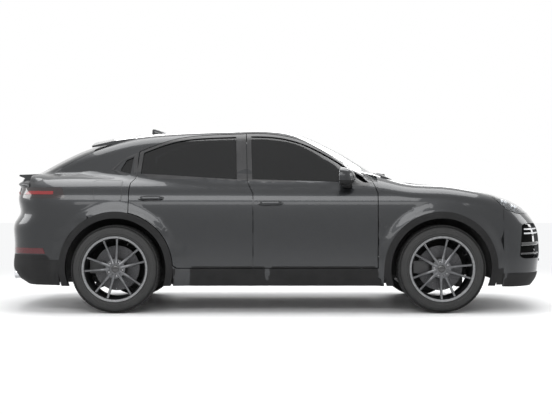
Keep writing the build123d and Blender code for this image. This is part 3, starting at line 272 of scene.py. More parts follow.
def make_metal(name, color, rough, scale=300.0, strength=0.06, **sockets):
    """Machined or cast metal with a fine uneven grain."""
    look = Look(name, color, rough, 1.0, **sockets)
    streak = look.noise(scale, 3.0)
    look.tint(streak, [c * 0.82 for c in color], [min(1, c * 1.15) for c in color])
    look.roughen(streak, rough - 0.05, rough + 0.07)
    look.bump(streak, strength, 0.0004)
    return look.material


def make_leather():
    look = Look("seat_leather", (0.022, 0.022, 0.023), 0.46, Sheen_Weight=0.05)
    creases = look.noise(34, 5.0, 0.6)
    look.tint(creases, (0.017, 0.017, 0.018), (0.034, 0.034, 0.035), (0.35, 0.75))
    look.roughen(creases, 0.38, 0.56)
    look.bump(look.cells(420), 0.4, 0.0006)
    return look.material


def make_carpet():
    look = Look("carpet", (0.02, 0.02, 0.021), 0.95, Sheen_Weight=0.2)
    tuft = look.noise(700, 3.0, 0.7)
    look.tint(tuft, (0.012, 0.012, 0.013), (0.04, 0.04, 0.042))
    look.bump(tuft, 0.6, 0.002)
    return look.material


def make_lens(name, color, rough, through, glow=None):
    """A moulded lamp cover with fine optics under its face."""
    look = Look(name, color, rough, IOR=1.46, Transmission_Weight=through, Coat_Weight=0.6,
                Coat_Roughness=0.03)
    wave = look.texture("ShaderNodeTexWave", "Fac", Scale=60)
    look.tint(wave, [c * 0.7 for c in color], color, (0.2, 0.8))
    look.bump(wave, 0.05, 0.0006)
    if glow:
        look.set(look.surface, Emission_Color=(*glow, 1), Emission_Strength=0.6)
    return look.material


paint = make_paint()
black_gloss = grained("gloss_black_trim", (0.011, 0.011, 0.012), 0.16, 600, 0.0001, 0.05, Coat_Weight=0.8)
cladding = grained("black_cladding", (0.008, 0.008, 0.0083), 0.66, Specular_IOR_Level=0.24)
# Near-black matte with almost no gloss: painted shade for the dark space behind the nose openings.
intake_shade = grained("intake_shade", (0.003, 0.003, 0.003), 0.9, Specular_IOR_Level=0.06)
window_trim = grained("black_window_trim", (0.014, 0.014, 0.015), 0.32, 800, 0.0002, 0.2)
underseal = grained("underseal", (0.018, 0.018, 0.018), 0.85, 500, 0.0008, 0.5)
side_glass = make_glass("tinted_side_glass", (0.018, 0.0195, 0.021), 0.8)
screen_glass = make_glass("screen_glass", (0.42, 0.45, 0.44), 0.9)
rear_glass = make_glass("tinted_rear_glass", (0.018, 0.0195, 0.021), 0.8)
tread_rubber = make_rubber("tread_rubber", (0.011, 0.011, 0.011), 0.8)
wall_rubber = make_rubber("sidewall_rubber", (0.013, 0.013, 0.013), 0.66)
seal_rubber = make_rubber("seal_rubber", (0.012, 0.012, 0.012), 0.6)
spoke_metal = make_metal("dark_spoke_alloy", (0.12, 0.122, 0.127), 0.34, scale=40, Coat_Weight=0.3)
lip_metal = make_metal("turned_rim_lip", (0.22, 0.223, 0.228), 0.30, scale=60)
barrel_metal = make_metal("rim_barrel_alloy", (0.045, 0.046, 0.048), 0.42, scale=50)
disc_metal = make_metal("ground_disc_steel", (0.075, 0.075, 0.078), 0.42, scale=220)
cast_metal = make_metal("cast_iron", (0.055, 0.055, 0.055), 0.62, scale=120, strength=0.3)
caliper_metal = grained("caliper_enamel", (0.03, 0.03, 0.031), 0.4)
bolt_metal = make_metal("bolt_steel", (0.34, 0.34, 0.35), 0.35, scale=80)
bright_metal = make_metal("bright_trim_metal", (0.62, 0.63, 0.65), 0.16, scale=30)
leather = make_leather()
carpet = make_carpet()
headliner = grained("headliner_cloth", (0.30, 0.30, 0.29), 0.9, 1500, 0.0005, 0.5, Sheen_Weight=0.2)
door_card = grained("door_card_vinyl", (0.030, 0.030, 0.031), 0.55, 500, 0.0004, 0.4)
red_lens = make_lens("red_lens", (0.26, 0.006, 0.008), 0.12, 0.25, (0.07, 0.0015, 0.002))
smoked_lens = make_lens("smoked_lens", (0.012, 0.004, 0.0045), 0.14, 0.0)
reflector_lens = make_lens("reflector_lens", (0.085, 0.003, 0.007), 0.2, 0.0)
clear_lens = make_glass("clear_lens", (0.80, 0.82, 0.84), 1.0)
led_white = make_lens("projector_lens", (0.75, 0.78, 0.82), 0.05, 0.4, (0.8, 0.9, 1.0))
lamp_silver = make_metal("lamp_reflector", (0.75, 0.76, 0.78), 0.12, scale=20)
lamp_dark = grained("lamp_housing", (0.02, 0.02, 0.022), 0.3)
screen_black = grained("display_glass", (0.006, 0.006, 0.008), 0.12, 900, 0.00005, 0.02, Coat_Weight=0.6)
mirror_glass = make_metal("mirror_silver", (0.80, 0.81, 0.83), 0.03, scale=5, strength=0.0)


# ---------------------------------------------------------------- meshes
def piece(name, vertices, faces, material, body, slot=None):
    """A finished mesh in its place, riding on a body."""
    mesh = bpy.data.meshes.new(name)
    mesh.from_pydata([tuple(map(float, v)) for v in vertices], [], [tuple(map(int, f)) for f in faces])
    mesh.materials.append(material)
    mesh.update()
    obj = bpy.data.objects.new(name, mesh)
    scene.collection.objects.link(obj)
    mesh.shade_smooth()
    mesh.set_sharp_from_angle(angle=math.radians(32))
    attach(obj, body)
    return obj


def mirrored(vertices, faces):
    """The same mesh on the other side of the car."""
    flipped = np.array(vertices, float).copy()
    flipped[:, 1] *= -1
    return flipped, [tuple(reversed(f)) for f in faces]


def joined(*parts):
    """Several vertex and face lists as one."""
    vertices, faces = [], []
    for part_vertices, part_faces in parts:
        start = len(vertices)
        vertices += [tuple(map(float, v)) for v in part_vertices]
        faces += [tuple(int(i) + start for i in face) for face in part_faces]
    return vertices, faces


def lathe(profile, centre, segments=96, axis=1, closed=False):
    """A ring about a line along an axis through centre; profile rows are radius and place along it."""
    vertices, faces = [], []
    count = len(profile)
    for s in range(segments):
        angle = 2 * math.pi * s / segments
        c, d = math.cos(angle), math.sin(angle)
        for radius, along in profile:
            place = [radius * c, radius * d]
            place.insert(axis, along)
            vertices.append(tuple(a + b for a, b in zip(centre, place)))
    rows = count if closed else count - 1
    for s in range(segments):
        t = (s + 1) % segments
        for i in range(rows):
            j = (i + 1) % count
            faces.append((s * count + i, s * count + j, t * count + j, t * count + i))
    return vertices, faces


def tidy_normals(obj):
    """Doubles merged and faces turned outwards."""
    work = bmesh.new()
    work.from_mesh(obj.data)
    bmesh.ops.remove_doubles(work, verts=work.verts, dist=0.00001)
    bmesh.ops.recalc_face_normals(work, faces=work.faces)
    work.to_mesh(obj.data)
    work.free()
    obj.data.shade_smooth()
    obj.data.set_sharp_from_angle(angle=math.radians(32))
    return obj


def resample(points, step):
    """Points no further than step apart along a closed outline."""
    points = np.array(points, float)
    rows = []
    for a, b in zip(points, np.roll(points, -1, axis=0)):
        count = max(1, int(math.ceil(np.linalg.norm(b - a) / step)))
        rows += [a + (b - a) * i / count for i in range(count)]
    return np.array(rows)


def shell_of(triangles, upper, lower):
    """A closed solid between two copies of a surface, with walls along its open edges."""
    used = {}
    for t in triangles:
        used.update(dict.fromkeys(zip(t, t[1:] + t[:1])))
    border = [(a, b) for a, b in used if (b, a) not in used]
    count = len(upper)
    faces = list(triangles) + [tuple(i + count for i in reversed(t)) for t in triangles]
    faces += [(b, a, a + count, b + count) for a, b in border]
    return np.concatenate([upper, lower]), faces


def patch(outline, to_skin, holes=(), step=0.03, top=0.002, foot=-0.004):
    """A closed thin shell on the body: an outline with holes, filled, then lifted to the skin.

    to_skin takes rows of two plane coordinates and a lift, and gives places in the car."""
    loops = [resample(outline, step)] + [resample(hole, step) for hole in holes]
    points, edges = [], []
    for loop in loops:
        start = len(points)
        points += [Vector(p) for p in loop]
        edges += [(start + i, start + (i + 1) % len(loop)) for i in range(len(loop))]
    lows, highs = loops[0].min(0), loops[0].max(0)
    xs = np.arange(lows[0] + step / 2, highs[0], step)
    ys = np.arange(lows[1] + step / 2, highs[1], step)
    grid = np.array([(x, y) for x in xs for y in ys]).reshape(-1, 2)
    keep = inside_loops(grid, loops)
    near = []
    if len(grid):
        near = np.min(np.linalg.norm(grid[:, None, :] - np.concatenate(loops)[None], axis=2), axis=1)
    points += [Vector(p) for p, ok, d in zip(grid, keep, near) if ok and d > step * 0.35]
    flat, _, triangles, *_ = delaunay_2d_cdt(points, edges, [], 0, 1e-6)
    flat = np.array([tuple(p) for p in flat])
    centres = np.array([flat[list(t)].mean(0) for t in triangles])
    good = inside_loops(centres, loops)
    triangles = [tuple(t) for t, ok in zip(triangles, good) if ok]
    upper, _ = to_skin(flat, top)
    lower, _ = to_skin(flat, foot)
    vertices, faces = shell_of(triangles, upper, lower)
    sample = triangles[len(triangles) // 2]
    v0, v1, v2 = (upper[i] for i in sample[:3])
    if np.dot(np.cross(v1 - v0, v2 - v0), v0 - lower[sample[0]]) < 0:
        faces = [tuple(reversed(f)) for f in faces]
    return vertices, faces


def inside_loops(points, loops):
    """Which points are inside the first loop and outside the others."""
    result = np.zeros(len(points), bool)
    if not len(points):
        return result
    for number, loop in enumerate(loops):
        a, b = loop, np.roll(loop, -1, axis=0)
        hit = np.zeros(len(points), bool)
        for (ax, ay), (bx, by) in zip(a, b):
            if ay == by:
                continue
            crosses = ((ay > points[:, 1]) != (by > points[:, 1])) & (
                points[:, 0] < (bx - ax) * (points[:, 1] - ay) / (by - ay) + ax)
            hit ^= crosses
        result = hit if number == 0 else result & ~hit
    return result


def from_side(flat, lift):
    """Side view places (x, z) on the left skin."""
    origin = np.column_stack([flat[:, 0], np.zeros(len(flat)), flat[:, 1]])
    return skin(origin, (0, 1, 0), lift)


def from_above(flat, lift):
    """Plan view places (x, y) on the top skin."""
    origin = np.column_stack([flat[:, 0], flat[:, 1], np.full(len(flat), 0.56)])
    return skin(origin, (0, 0, 1), lift)


def from_front(flat, lift):
    """Front view places (y, z) on the nose."""
    origin = np.column_stack([np.full(len(flat), front - 0.2), flat[:, 0], flat[:, 1]])
    return skin(origin, (1, 0, 0), lift)


def from_back(flat, lift):
    """Back view places (y, z) on the tail."""
    origin = np.column_stack([np.full(len(flat), rear + 0.2), flat[:, 0], flat[:, 1]])
    return skin(origin, (-1, 0, 0), lift)


def ring_tree():
    """Geometry Nodes: copies of a mesh turned evenly about the y axis, made real, with one material."""
    tree = bpy.data.node_groups.new("ring_of_copies", "GeometryNodeTree")
    sockets = {}
    for label, kind in (("Geometry", "NodeSocketGeometry"), ("Count", "NodeSocketInt"),
                        ("Turn", "NodeSocketFloat"), ("Material", "NodeSocketMaterial")):
        sockets[label] = tree.interface.new_socket(label, in_out="INPUT", socket_type=kind).identifier
    tree.interface.new_socket("Geometry", in_out="OUTPUT", socket_type="NodeSocketGeometry")
    new, link = tree.nodes.new, tree.links.new
    given, result = new("NodeGroupInput"), new("NodeGroupOutput")
    points, index = new("GeometryNodePoints"), new("GeometryNodeInputIndex")
    share, angle, turned = new("ShaderNodeMath"), new("ShaderNodeMath"), new("ShaderNodeMath")
    share.operation, angle.operation, turned.operation = "DIVIDE", "MULTIPLY", "ADD"
    angle.inputs[1].default_value = 2 * math.pi
    axis, rotation = new("ShaderNodeCombineXYZ"), new("FunctionNodeEulerToRotation")
    copies, real = new("GeometryNodeInstanceOnPoints"), new("GeometryNodeRealizeInstances")
    paint_on = new("GeometryNodeSetMaterial")
    link(given.outputs["Count"], points.inputs["Count"])
    link(index.outputs["Index"], share.inputs[0])
    link(given.outputs["Count"], share.inputs[1])
    link(share.outputs[0], angle.inputs[0])
    link(angle.outputs[0], turned.inputs[0])
    link(given.outputs["Turn"], turned.inputs[1])
    link(turned.outputs[0], axis.inputs["Y"])
    link(axis.outputs[0], rotation.inputs["Euler"])
    link(points.outputs["Points"], copies.inputs["Points"])
    link(given.outputs["Geometry"], copies.inputs["Instance"])
    link(rotation.outputs["Rotation"], copies.inputs["Rotation"])
    link(copies.outputs["Instances"], real.inputs["Geometry"])
    link(real.outputs["Geometry"], paint_on.inputs["Geometry"])
    link(given.outputs["Material"], paint_on.inputs["Material"])
    link(paint_on.outputs["Geometry"], result.inputs[0])
    return tree, sockets


ring_group, ring_sockets = ring_tree()


def ring_of(name, mesh_data, count, centre, turn, material, body):
    """Copies of a mesh made about the y axis through the origin, set round a wheel's centre."""
    mesh = bpy.data.meshes.new(name + "_one")
    mesh.from_pydata([tuple(map(float, v)) for v in mesh_data[0]], [], [tuple(f) for f in mesh_data[1]])
    one = bpy.data.objects.new(name + "_one", mesh)
    scene.collection.objects.link(one)
    modifier = one.modifiers.new("ring", "NODES")
    modifier.node_group = ring_group
    modifier[ring_sockets["Count"]] = count
    modifier[ring_sockets["Turn"]] = turn
    modifier[ring_sockets["Material"]] = material
    bpy.context.view_layer.update()
    graph = bpy.context.evaluated_depsgraph_get()
    ring = bpy.data.meshes.new_from_object(one.evaluated_get(graph), preserve_all_data_layers=True,
                                           depsgraph=graph)
    one.modifiers.clear()
    bpy.data.objects.remove(one)
    ring.transform(Matrix.Translation(centre))
    ring.name = name
    obj = bpy.data.objects.new(name, ring)
    scene.collection.objects.link(obj)
    ring.materials.clear()
    ring.materials.append(material)
    ring.polygons.foreach_set("material_index", [0] * len(ring.polygons))
    tidy_normals(obj)
    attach(obj, body)
    return obj


def circle(x, y, radius, count=24):
    """Points round a circle."""
    return [(x + radius * math.cos(2 * math.pi * i / count), y + radius * math.sin(2 * math.pi * i / count))
            for i in range(count)]


# ---------------------------------------------------------------- wheels
corners = {"front_left": (front, 0.840, 0.285), "front_right": (front, -0.840, 0.285),
           "rear_left": (rear, 0.8365, 0.315), "rear_right": (rear, -0.8365, 0.315)}
pair_angle = {"front": -5.5, "rear": 27.0}
rim_edge = 0.279


def loft(sections):
    """Closed sections with equal point counts joined into a closed solid."""
    count = len(sections[0])
    vertices = [p for section in sections for p in section]
    faces = []
    for s in range(len(sections) - 1):
        for i in range(count):
            j = (i + 1) % count
            faces.append((s * count + i, s * count + j, (s + 1) * count + j, (s + 1) * count + i))
    faces.append(tuple(reversed(range(count))))
    faces.append(tuple((len(sections) - 1) * count + i for i in range(count)))
    return vertices, faces


def closed_loop(sections):
    """Closed sections joined into a ring, the last one to the first."""
    around, count = len(sections), len(sections[0])
    vertices = [p for section in sections for p in section]
    faces = []
    for s in range(around):
        here, after = s * count, (s + 1) % around * count
        faces += [(here + i, after + i, after + (i + 1) % count, here + (i + 1) % count)
                  for i in range(count)]
    return vertices, faces


def spoke(side, face, out, turn):
    """One thin spoke in the wheel's own frame: narrow ridge, bevelled flanks, dished towards the hub."""
    inner, outer = math.radians(turn + side * 16), math.radians(turn + side * 13)
    start = np.array((math.cos(inner), math.sin(inner))) * 0.052
    end = np.array((math.cos(outer), math.sin(outer))) * 0.2665
    along = (end - start) / np.linalg.norm(end - start)
    across = np.array((-along[1], along[0]))
    sections = []
    for t in np.linspace(0, 1, 13):
        middle = start + (end - start) * t
        half = 0.0155 - 0.0065 * t + 0.004 * t**8
        crest = face - 0.030 - 0.010 * math.sin(math.pi * min(1, t * 1.25)) + 0.018 * t**3
        back = crest - 0.034 + 0.008 * t
        shape = [(-0.30, crest), (0.30, crest), (0.78, crest - 0.004), (1.0, crest - 0.012), (0.86, back),
                 (-0.86, back), (-1.0, crest - 0.012), (-0.78, crest - 0.004)]
        sections.append([(middle[0] + across[0] * half * a, out * v, middle[1] + across[1] * half * a)
                         for a, v in shape])
    return loft(sections)


def tread_block(half_width, ahead, middle, foot, crown, slant=0.0):
    """One tread block across the tyre, in the tyre's own frame at the +x side."""
    rows = []
    for across, height in ((middle - half_width, crown(middle - half_width)),
                           (middle, crown(middle)), (middle + half_width, crown(middle + half_width))):
        for angle in (-ahead, -0.82 * ahead, 0.82 * ahead, ahead):
            low = 0.0012 if abs(angle) == ahead else 0.0
            shift = slant * (across - middle)
            rows.append((height - low, angle + shift, across))
    top = [(r * math.cos(a), v, r * math.sin(a)) for r, a, v in rows]
    under = [(foot * math.cos(a), v, foot * math.sin(a)) for _, a, v in rows]
    vertices = top + under
    faces = []
    for i in range(2):
        for j in range(3):
            a = i * 4 + j
            faces.append((a, a + 1, a + 5, a + 4))
            faces.append((a + 12, a + 16, a + 17, a + 13))
    for i in range(2):
        faces.append((i * 4, i * 4 + 4, i * 4 + 16, i * 4 + 12))
        faces.append((i * 4 + 3, i * 4 + 15, i * 4 + 19, i * 4 + 7))
    for j in range(3):
        faces.append((j, j + 12, j + 13, j + 1))
        faces.append((8 + j, 9 + j, 21 + j, 20 + j))
    return vertices, faces


def build_wheel(corner):
    x, y, width = corners[corner]
    out = 1 if y > 0 else -1
    centre = (x, y, tyre_radius)
    wheel_body = f"{corner}_wheel"
    face = width / 2 - 0.014
    w, t = width / 2, tyre_radius
    turn = pair_angle[corner.split("_")[0]]

    def ring(name, profile, material, slot, segments=120, closed=True):
        data = lathe([(r, v * out) for r, v in profile], centre, segments, closed=closed)
        obj = piece(f"{corner}_{name}", *data, material, wheel_body, slot)
        return tidy_normals(obj)

    deep = t - 0.0085
    outline = [(rim_edge + 0.0012, w - 0.015), (rim_edge + 0.013, w - 0.0148),
               (rim_edge + 0.018, w - 0.006), (rim_edge + 0.024, w - 0.0042),
               (rim_edge + 0.028, w - 0.0050), (t - 0.075, w - 0.0008), (t - 0.0745, w + 0.0),
               (t - 0.071, w + 0.0), (t - 0.0705, w - 0.0008), (t - 0.058, w - 0.0012),
               (t - 0.046, w - 0.0022), (t - 0.0455, w - 0.0014), (t - 0.043, w - 0.0018),
               (t - 0.0425, w - 0.003), (t - 0.030, w - 0.0085), (t - 0.022, w - 0.0135),
               (t - 0.016, w - 0.020), (t - 0.0125, w - 0.027), (deep - 0.002, w - 0.036),
               (deep, w - 0.060), (deep, 0.0)]
    outline += [(r, -v) for r, v in reversed(outline[:-1])]
    inside = [(rim_edge + 0.0012, -w + 0.030), (t - 0.030, -w + 0.034), (t - 0.022, 0.0),
              (t - 0.030, w - 0.034), (rim_edge + 0.0012, w - 0.030)]
    tyre = ring("tyre_carcass", outline + inside, wall_rubber, "rubber", 144)
    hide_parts(f"{corner}_tyre")

    def crown(v):
        share = min(1.0, abs(v) / (w - 0.020))
        return t - 0.0002 - 0.0062 * share**4

    rows = [("tread_centre", 0.0, 0.018, 60, 0.0), ("tread_inner", -0.26 * width, 0.022, 72, 1.6),
            ("tread_outer", 0.26 * width, 0.022, 72, 1.6), ("tread_left", -0.1275 * width, 0.0165, 66, 1.2),
            ("tread_right", 0.1275 * width, 0.0165, 66, 1.2),
            ("tread_shoulder_a", 0.405 * width, 0.0205, 72, 0.9),
            ("tread_shoulder_b", -0.405 * width, 0.0205, 72, 0.9)]
    for name, place, half_width, count, slant in rows:
        half_turn = math.pi / count * (0.93 if name == "tread_centre" else 0.86)
        block = tread_block(half_width * width / 0.300, half_turn, place, deep - 0.004, crown, slant)
        ring_of(f"{corner}_{name}", block, count, centre, 0.0, tread_rubber, wheel_body)
    barrel = [(rim_edge - 0.010, -face - 0.008), (rim_edge + 0.0118, -face - 0.008),
              (rim_edge + 0.0118, -face), (rim_edge, -face + 0.001), (rim_edge - 0.004, -face + 0.018),
              (rim_edge - 0.014, -face + 0.040), (rim_edge - 0.014, face - 0.040),
              (rim_edge - 0.004, face - 0.018), (rim_edge, face - 0.001), (rim_edge + 0.006, face),
              (rim_edge + 0.006, face + 0.004), (rim_edge - 0.004, face + 0.002),
              (rim_edge - 0.012, face - 0.012), (rim_edge - 0.022, face - 0.036),
              (rim_edge - 0.024, -face + 0.040)]
    rim = ring("rim_barrel", barrel, barrel_metal, "rim")
    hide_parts(f"{corner}_wheel")
    ring("rim_lip", [(rim_edge - 0.0105, face + 0.0005), (rim_edge - 0.0060, face + 0.0065),
                     (rim_edge, face + 0.0080), (rim_edge + 0.0118, face + 0.0080),
                     (rim_edge + 0.0130, face + 0.0060), (rim_edge + 0.0118, face + 0.0008),
                     (rim_edge + 0.002, face - 0.001)], lip_metal, "rim", 144)
    spokes = joined(spoke(1, face, out, turn), spoke(-1, face, out, turn))
    ring_of(f"{corner}_spokes", spokes, 5, centre, 0.0, spoke_metal, wheel_body)
    ring("centre_cap", [(0.0002, face - 0.0275), (0.018, face - 0.028), (0.028, face - 0.030),
                        (0.0325, face - 0.034), (0.0332, face - 0.048), (0.0002, face - 0.048)],
         black_gloss, "rim", 64)
    ring("cap_ring", [(0.0335, face - 0.034), (0.0345, face - 0.0325), (0.0365, face - 0.0325),
                      (0.038, face - 0.034), (0.038, face - 0.048), (0.0335, face - 0.048)], lip_metal,
         "rim", 64)
    holes = [circle(0.065 * math.cos(a), 0.065 * math.sin(a), 0.0125, 20)
             for a in (math.radians(36 + turn + 72 * k) for k in range(5))]

    def to_wheel(flat, lift):
        return np.column_stack([x + flat[:, 0], np.full(len(flat), y + out * lift),
                                tyre_radius + flat[:, 1]]), None

    plate = patch(circle(0, 0, 0.086, 60), to_wheel, holes + [circle(0, 0, 0.0375, 40)], 0.03, face - 0.041,
                  face - 0.070)
    tidy_normals(piece(f"{corner}_hub_plate", *plate, spoke_metal, wheel_body, "rim"))
    ring("hub_seat", [(0.031, face - 0.060), (0.084, face - 0.060), (0.084, 0.008), (0.031, 0.008)],
         barrel_metal, "rim", 60)
    bolt = [(r * math.cos(a), r * math.sin(a)) for r, a in
            ((0.0095, math.radians(60 * k)) for k in range(6))]
    sections = [[(0.065 + u * scale, out * v, q * scale) for u, q in bolt]
                for v, scale in ((face - 0.062, 1.0), (face - 0.047, 1.0), (face - 0.0455, 0.85))]
    ring_of(f"{corner}_wheel_bolts", loft(sections), 5, centre, math.radians(-36 - turn), bolt_metal,
            wheel_body)
    valve = lathe([(0.0002, 0.0), (0.0035, 0.0), (0.0035, 0.030), (0.0002, 0.031)], (0, 0, 0), 12, axis=0)
    angle = math.radians(turn + 36)
    place = Matrix.Translation(centre) @ Matrix.Rotation(-angle, 4, "Y") @ Matrix.Translation(
        (0.232, out * (face - 0.032), 0))
    moved = [tuple(place @ Vector(v)) for v in valve[0]]
    tidy_normals(piece(f"{corner}_valve", moved, valve[1], seal_rubber, wheel_body, "rim"))
    ring("disc_bell", [(0.0305, 0.0055), (0.0835, 0.0055), (0.0840, 0.004), (0.0840, -0.014),
                       (0.104, -0.0145), (0.104, -0.020), (0.074, -0.022), (0.074, -0.008),
                       (0.0305, -0.008)], cast_metal, "iron", 72)
    drill = []
    for k in range(24):
        for row, radius in enumerate((0.122, 0.146, 0.170, 0.188)):
            angle = math.radians(15 * k + row * 4.2)
            drill.append(circle(radius * math.cos(angle), radius * math.sin(angle), 0.0036, 8))
    for side, top, foot in (("outer", -0.0142, -0.0262), ("inner", -0.0358, -0.0478)):
        plate = patch(circle(0, 0, 0.200, 120), to_wheel, [circle(0, 0, 0.100, 72)] + drill, 0.05, top,
                      foot)
        tidy_normals(piece(f"{corner}_disc_{side}", *plate, disc_metal, wheel_body, "iron"))
    section = ((-0.0255, -0.0025), (-0.0255, 0.0025), (-0.0365, 0.0025), (-0.0365, -0.0025))
    vane = loft([[(radius, along * out, up) for along, up in section] for radius in (0.106, 0.196)])
    ring_of(f"{corner}_disc_vanes", vane, 48, centre, 0.0, cast_metal, wheel_body)


for corner in corners:
    build_wheel(corner)


# ---------------------------------------------------------------- copies of the CAD panels
def dressed(node, material, from_form=True, lining=None):
    """A merged copy of a CAD node: outer faces take the body form's own normals, inner ones a lining."""
    source = nodes[node]
    mesh = source.data.copy()
    mesh.transform(source.matrix_world)
    work = bmesh.new()
    work.from_mesh(mesh)
    bmesh.ops.remove_doubles(work, verts=work.verts, dist=0.00002)
    bmesh.ops.dissolve_degenerate(work, edges=work.edges, dist=0.00001)
    work.to_mesh(mesh)
    work.free()
    mesh.materials.clear()
    mesh.materials.append(material)
    mesh.polygons.foreach_set("material_index", [0] * len(mesh.polygons))
    obj = bpy.data.objects.new(f"{node}_skin", mesh)
    scene.collection.objects.link(obj)
    mesh.shade_smooth()
    mesh.set_sharp_from_angle(angle=math.radians(28))
    if lining:
        mesh.materials.append(lining)
        middles = np.array([p.center for p in mesh.polygons]) * 1000
        inwards = slope_of(middles)
        inwards /= np.linalg.norm(inwards, axis=1)[:, None] + 1e-9
        facing = np.array([p.normal for p in mesh.polygons])
        lined = (form(middles) < -8) & (np.sum(inwards * facing, axis=1) < -0.35)
        mesh.polygons.foreach_set("material_index", lined.astype(int))
    if from_form:
        form_normals(mesh)
    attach(obj, body_of[node])
    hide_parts(node)
    return obj


def form_normals(mesh, reach=5.0, turn=0.86):
    """Corner normals on the body's outer skin set to the form's gradient there."""
    count = len(mesh.vertices)
    places = np.empty(count * 3)
    mesh.vertices.foreach_get("co", places)
    places = places.reshape(-1, 3) * 1000
    near = np.abs(form(places)) < reach
    gradient = np.zeros_like(places)
    gradient[near] = slope_of(places[near])
    length = np.linalg.norm(gradient, axis=1)
    near &= length > 1e-6
    gradient[near] /= length[near][:, None]
    corner_vertex = np.empty(len(mesh.loops), int)
    mesh.loops.foreach_get("vertex_index", corner_vertex)
    kept = np.array([c.vector for c in mesh.corner_normals])
    face_normal = np.empty(len(mesh.polygons) * 3)
    mesh.polygons.foreach_get("normal", face_normal)
    face_normal = face_normal.reshape(-1, 3)
    totals = np.empty(len(mesh.polygons), int)
    mesh.polygons.foreach_get("loop_total", totals)
    by_corner = np.repeat(face_normal, totals, axis=0)
    wanted = gradient[corner_vertex]
    on_skin = near[corner_vertex] & (np.sum(wanted * by_corner, axis=1) > turn)
    kept[on_skin] = wanted[on_skin]
    mesh.normals_split_custom_set([tuple(n) for n in kept])


record = frame["record"]
body_of = {node: body for body, owned in record["behaviour"]["bodies"].items() for node in owned}


def sides(node):
    """The names of a pair of pieces."""
    return (f"left_{node}", f"right_{node}")


painted = (*sides("body_side"), "roof", "bonnet", "front_bumper", *sides("front_fender"),
           *sides("front_door"), *sides("rear_door"), "tailgate", "rear_bumper", "deck_spoiler",
           "roof_spoiler")
panel_looks = dict.fromkeys(painted, paint)
panel_looks |= dict.fromkeys(("rear_valance", "scuttle", *sides("arch_trim")), cladding)
panel_looks |= dict.fromkeys((*sides("front_window"), *sides("rear_window"), "quarter_windows"), side_glass)
panel_looks |= {"windscreen": screen_glass, "rear_window": rear_glass, "grille": black_gloss,
                "tail_lamps": smoked_lens, "light_bar": smoked_lens}
linings = dict.fromkeys((*sides("body_side"), *sides("front_door"), *sides("rear_door"), "tailgate"),
                        door_card)
linings |= dict.fromkeys(("bonnet", *sides("front_fender"), "front_bumper", "rear_bumper"), underseal)
linings["roof"] = headliner
for node, look in panel_looks.items():
    dressed(node, look, lining=linings.get(node))
castings = ("engine", "front_subframe", "rear_subframe", *(f"{corner}_knuckle" for corner in corners))
hidden_looks = {"underbody": underseal, "wheel_wells": underseal, "dashboard": leather,
                "centre_console": cladding} | dict.fromkeys(castings, cast_metal)
hidden = {node: dressed(node, look, from_form=False) for node, look in hidden_looks.items()}
for corner, (x, _, _) in corners.items():
    carrier = hidden[f"{corner}_knuckle"].data
    carrier.materials.append(caliper_metal)
    back = [p.center.x < x - 0.109 for p in carrier.polygons]
    carrier.polygons.foreach_set("material_index", np.array(back, int))


# ---------------------------------------------------------------- trims cut from the panels' outer skins
def outer_faces(node, planes, reach=3.0, turn=0.85):
    """The part of a CAD node's outer skin inside every (point, normal) plane, as a merged bmesh."""
    work = bmesh.new()
    work.from_mesh(nodes[node].data)
    work.transform(nodes[node].matrix_world)
    bmesh.ops.remove_doubles(work, verts=work.verts, dist=0.00002)
    work.normal_update()
    places = np.array([v.co for v in work.verts]) * 1000
    near = np.abs(form(places)) < reach
    gradient = slope_of(places)
    gradient /= np.linalg.norm(gradient, axis=1)[:, None] + 1e-9
    drop = []
    for face in work.faces:
        index = [v.index for v in face.verts]
        outward = Vector(gradient[index].mean(0))
        if not near[index].all() or face.normal.dot(outward) < turn:
            drop.append(face)
    bmesh.ops.delete(work, geom=drop, context="FACES")
    for point, normal in planes:
        everything = work.verts[:] + work.edges[:] + work.faces[:]
        bmesh.ops.bisect_plane(work, geom=everything, dist=0.000005, plane_co=point, plane_no=normal,
                               clear_inner=True)
    loose = [v for v in work.verts if not v.link_faces]
    bmesh.ops.delete(work, geom=loose, context="VERTS")
    bmesh.ops.triangulate(work, faces=work.faces)
    long_edges = [e for e in work.edges if e.calc_length() > 0.09]
    if long_edges:
        bmesh.ops.subdivide_edges(work, edges=long_edges, cuts=2, use_grid_fill=False)
        bmesh.ops.triangulate(work, faces=work.faces)
    return work


def skin_shell(name, node, planes, top, foot, material, slot=None, reach=3.0, turn=0.85):
    """A closed thin shell from top to foot metres off the body form, cut from a node's outer skin."""
    work = outer_faces(node, planes, reach, turn)
    if not work.faces:
        raise ValueError(f"nothing left of {node} for {name}")
    work.verts.index_update()
    flat = np.array([v.co for v in work.verts])
    gradient = slope_of(flat * 1000)
    normal = gradient / np.linalg.norm(gradient, axis=1)[:, None]
    level = form(flat * 1000) / 1000
    on_form = flat - normal * level[:, None]
    triangles = [tuple(v.index for v in f.verts) for f in work.faces]
    work.free()
    shell = shell_of(triangles, on_form + normal * top, on_form + normal * foot)
    obj = piece(name, *shell, material, body_of[node], slot)
    form_normals(obj.data, reach=abs(top) * 1000 + 1.5)
    return obj


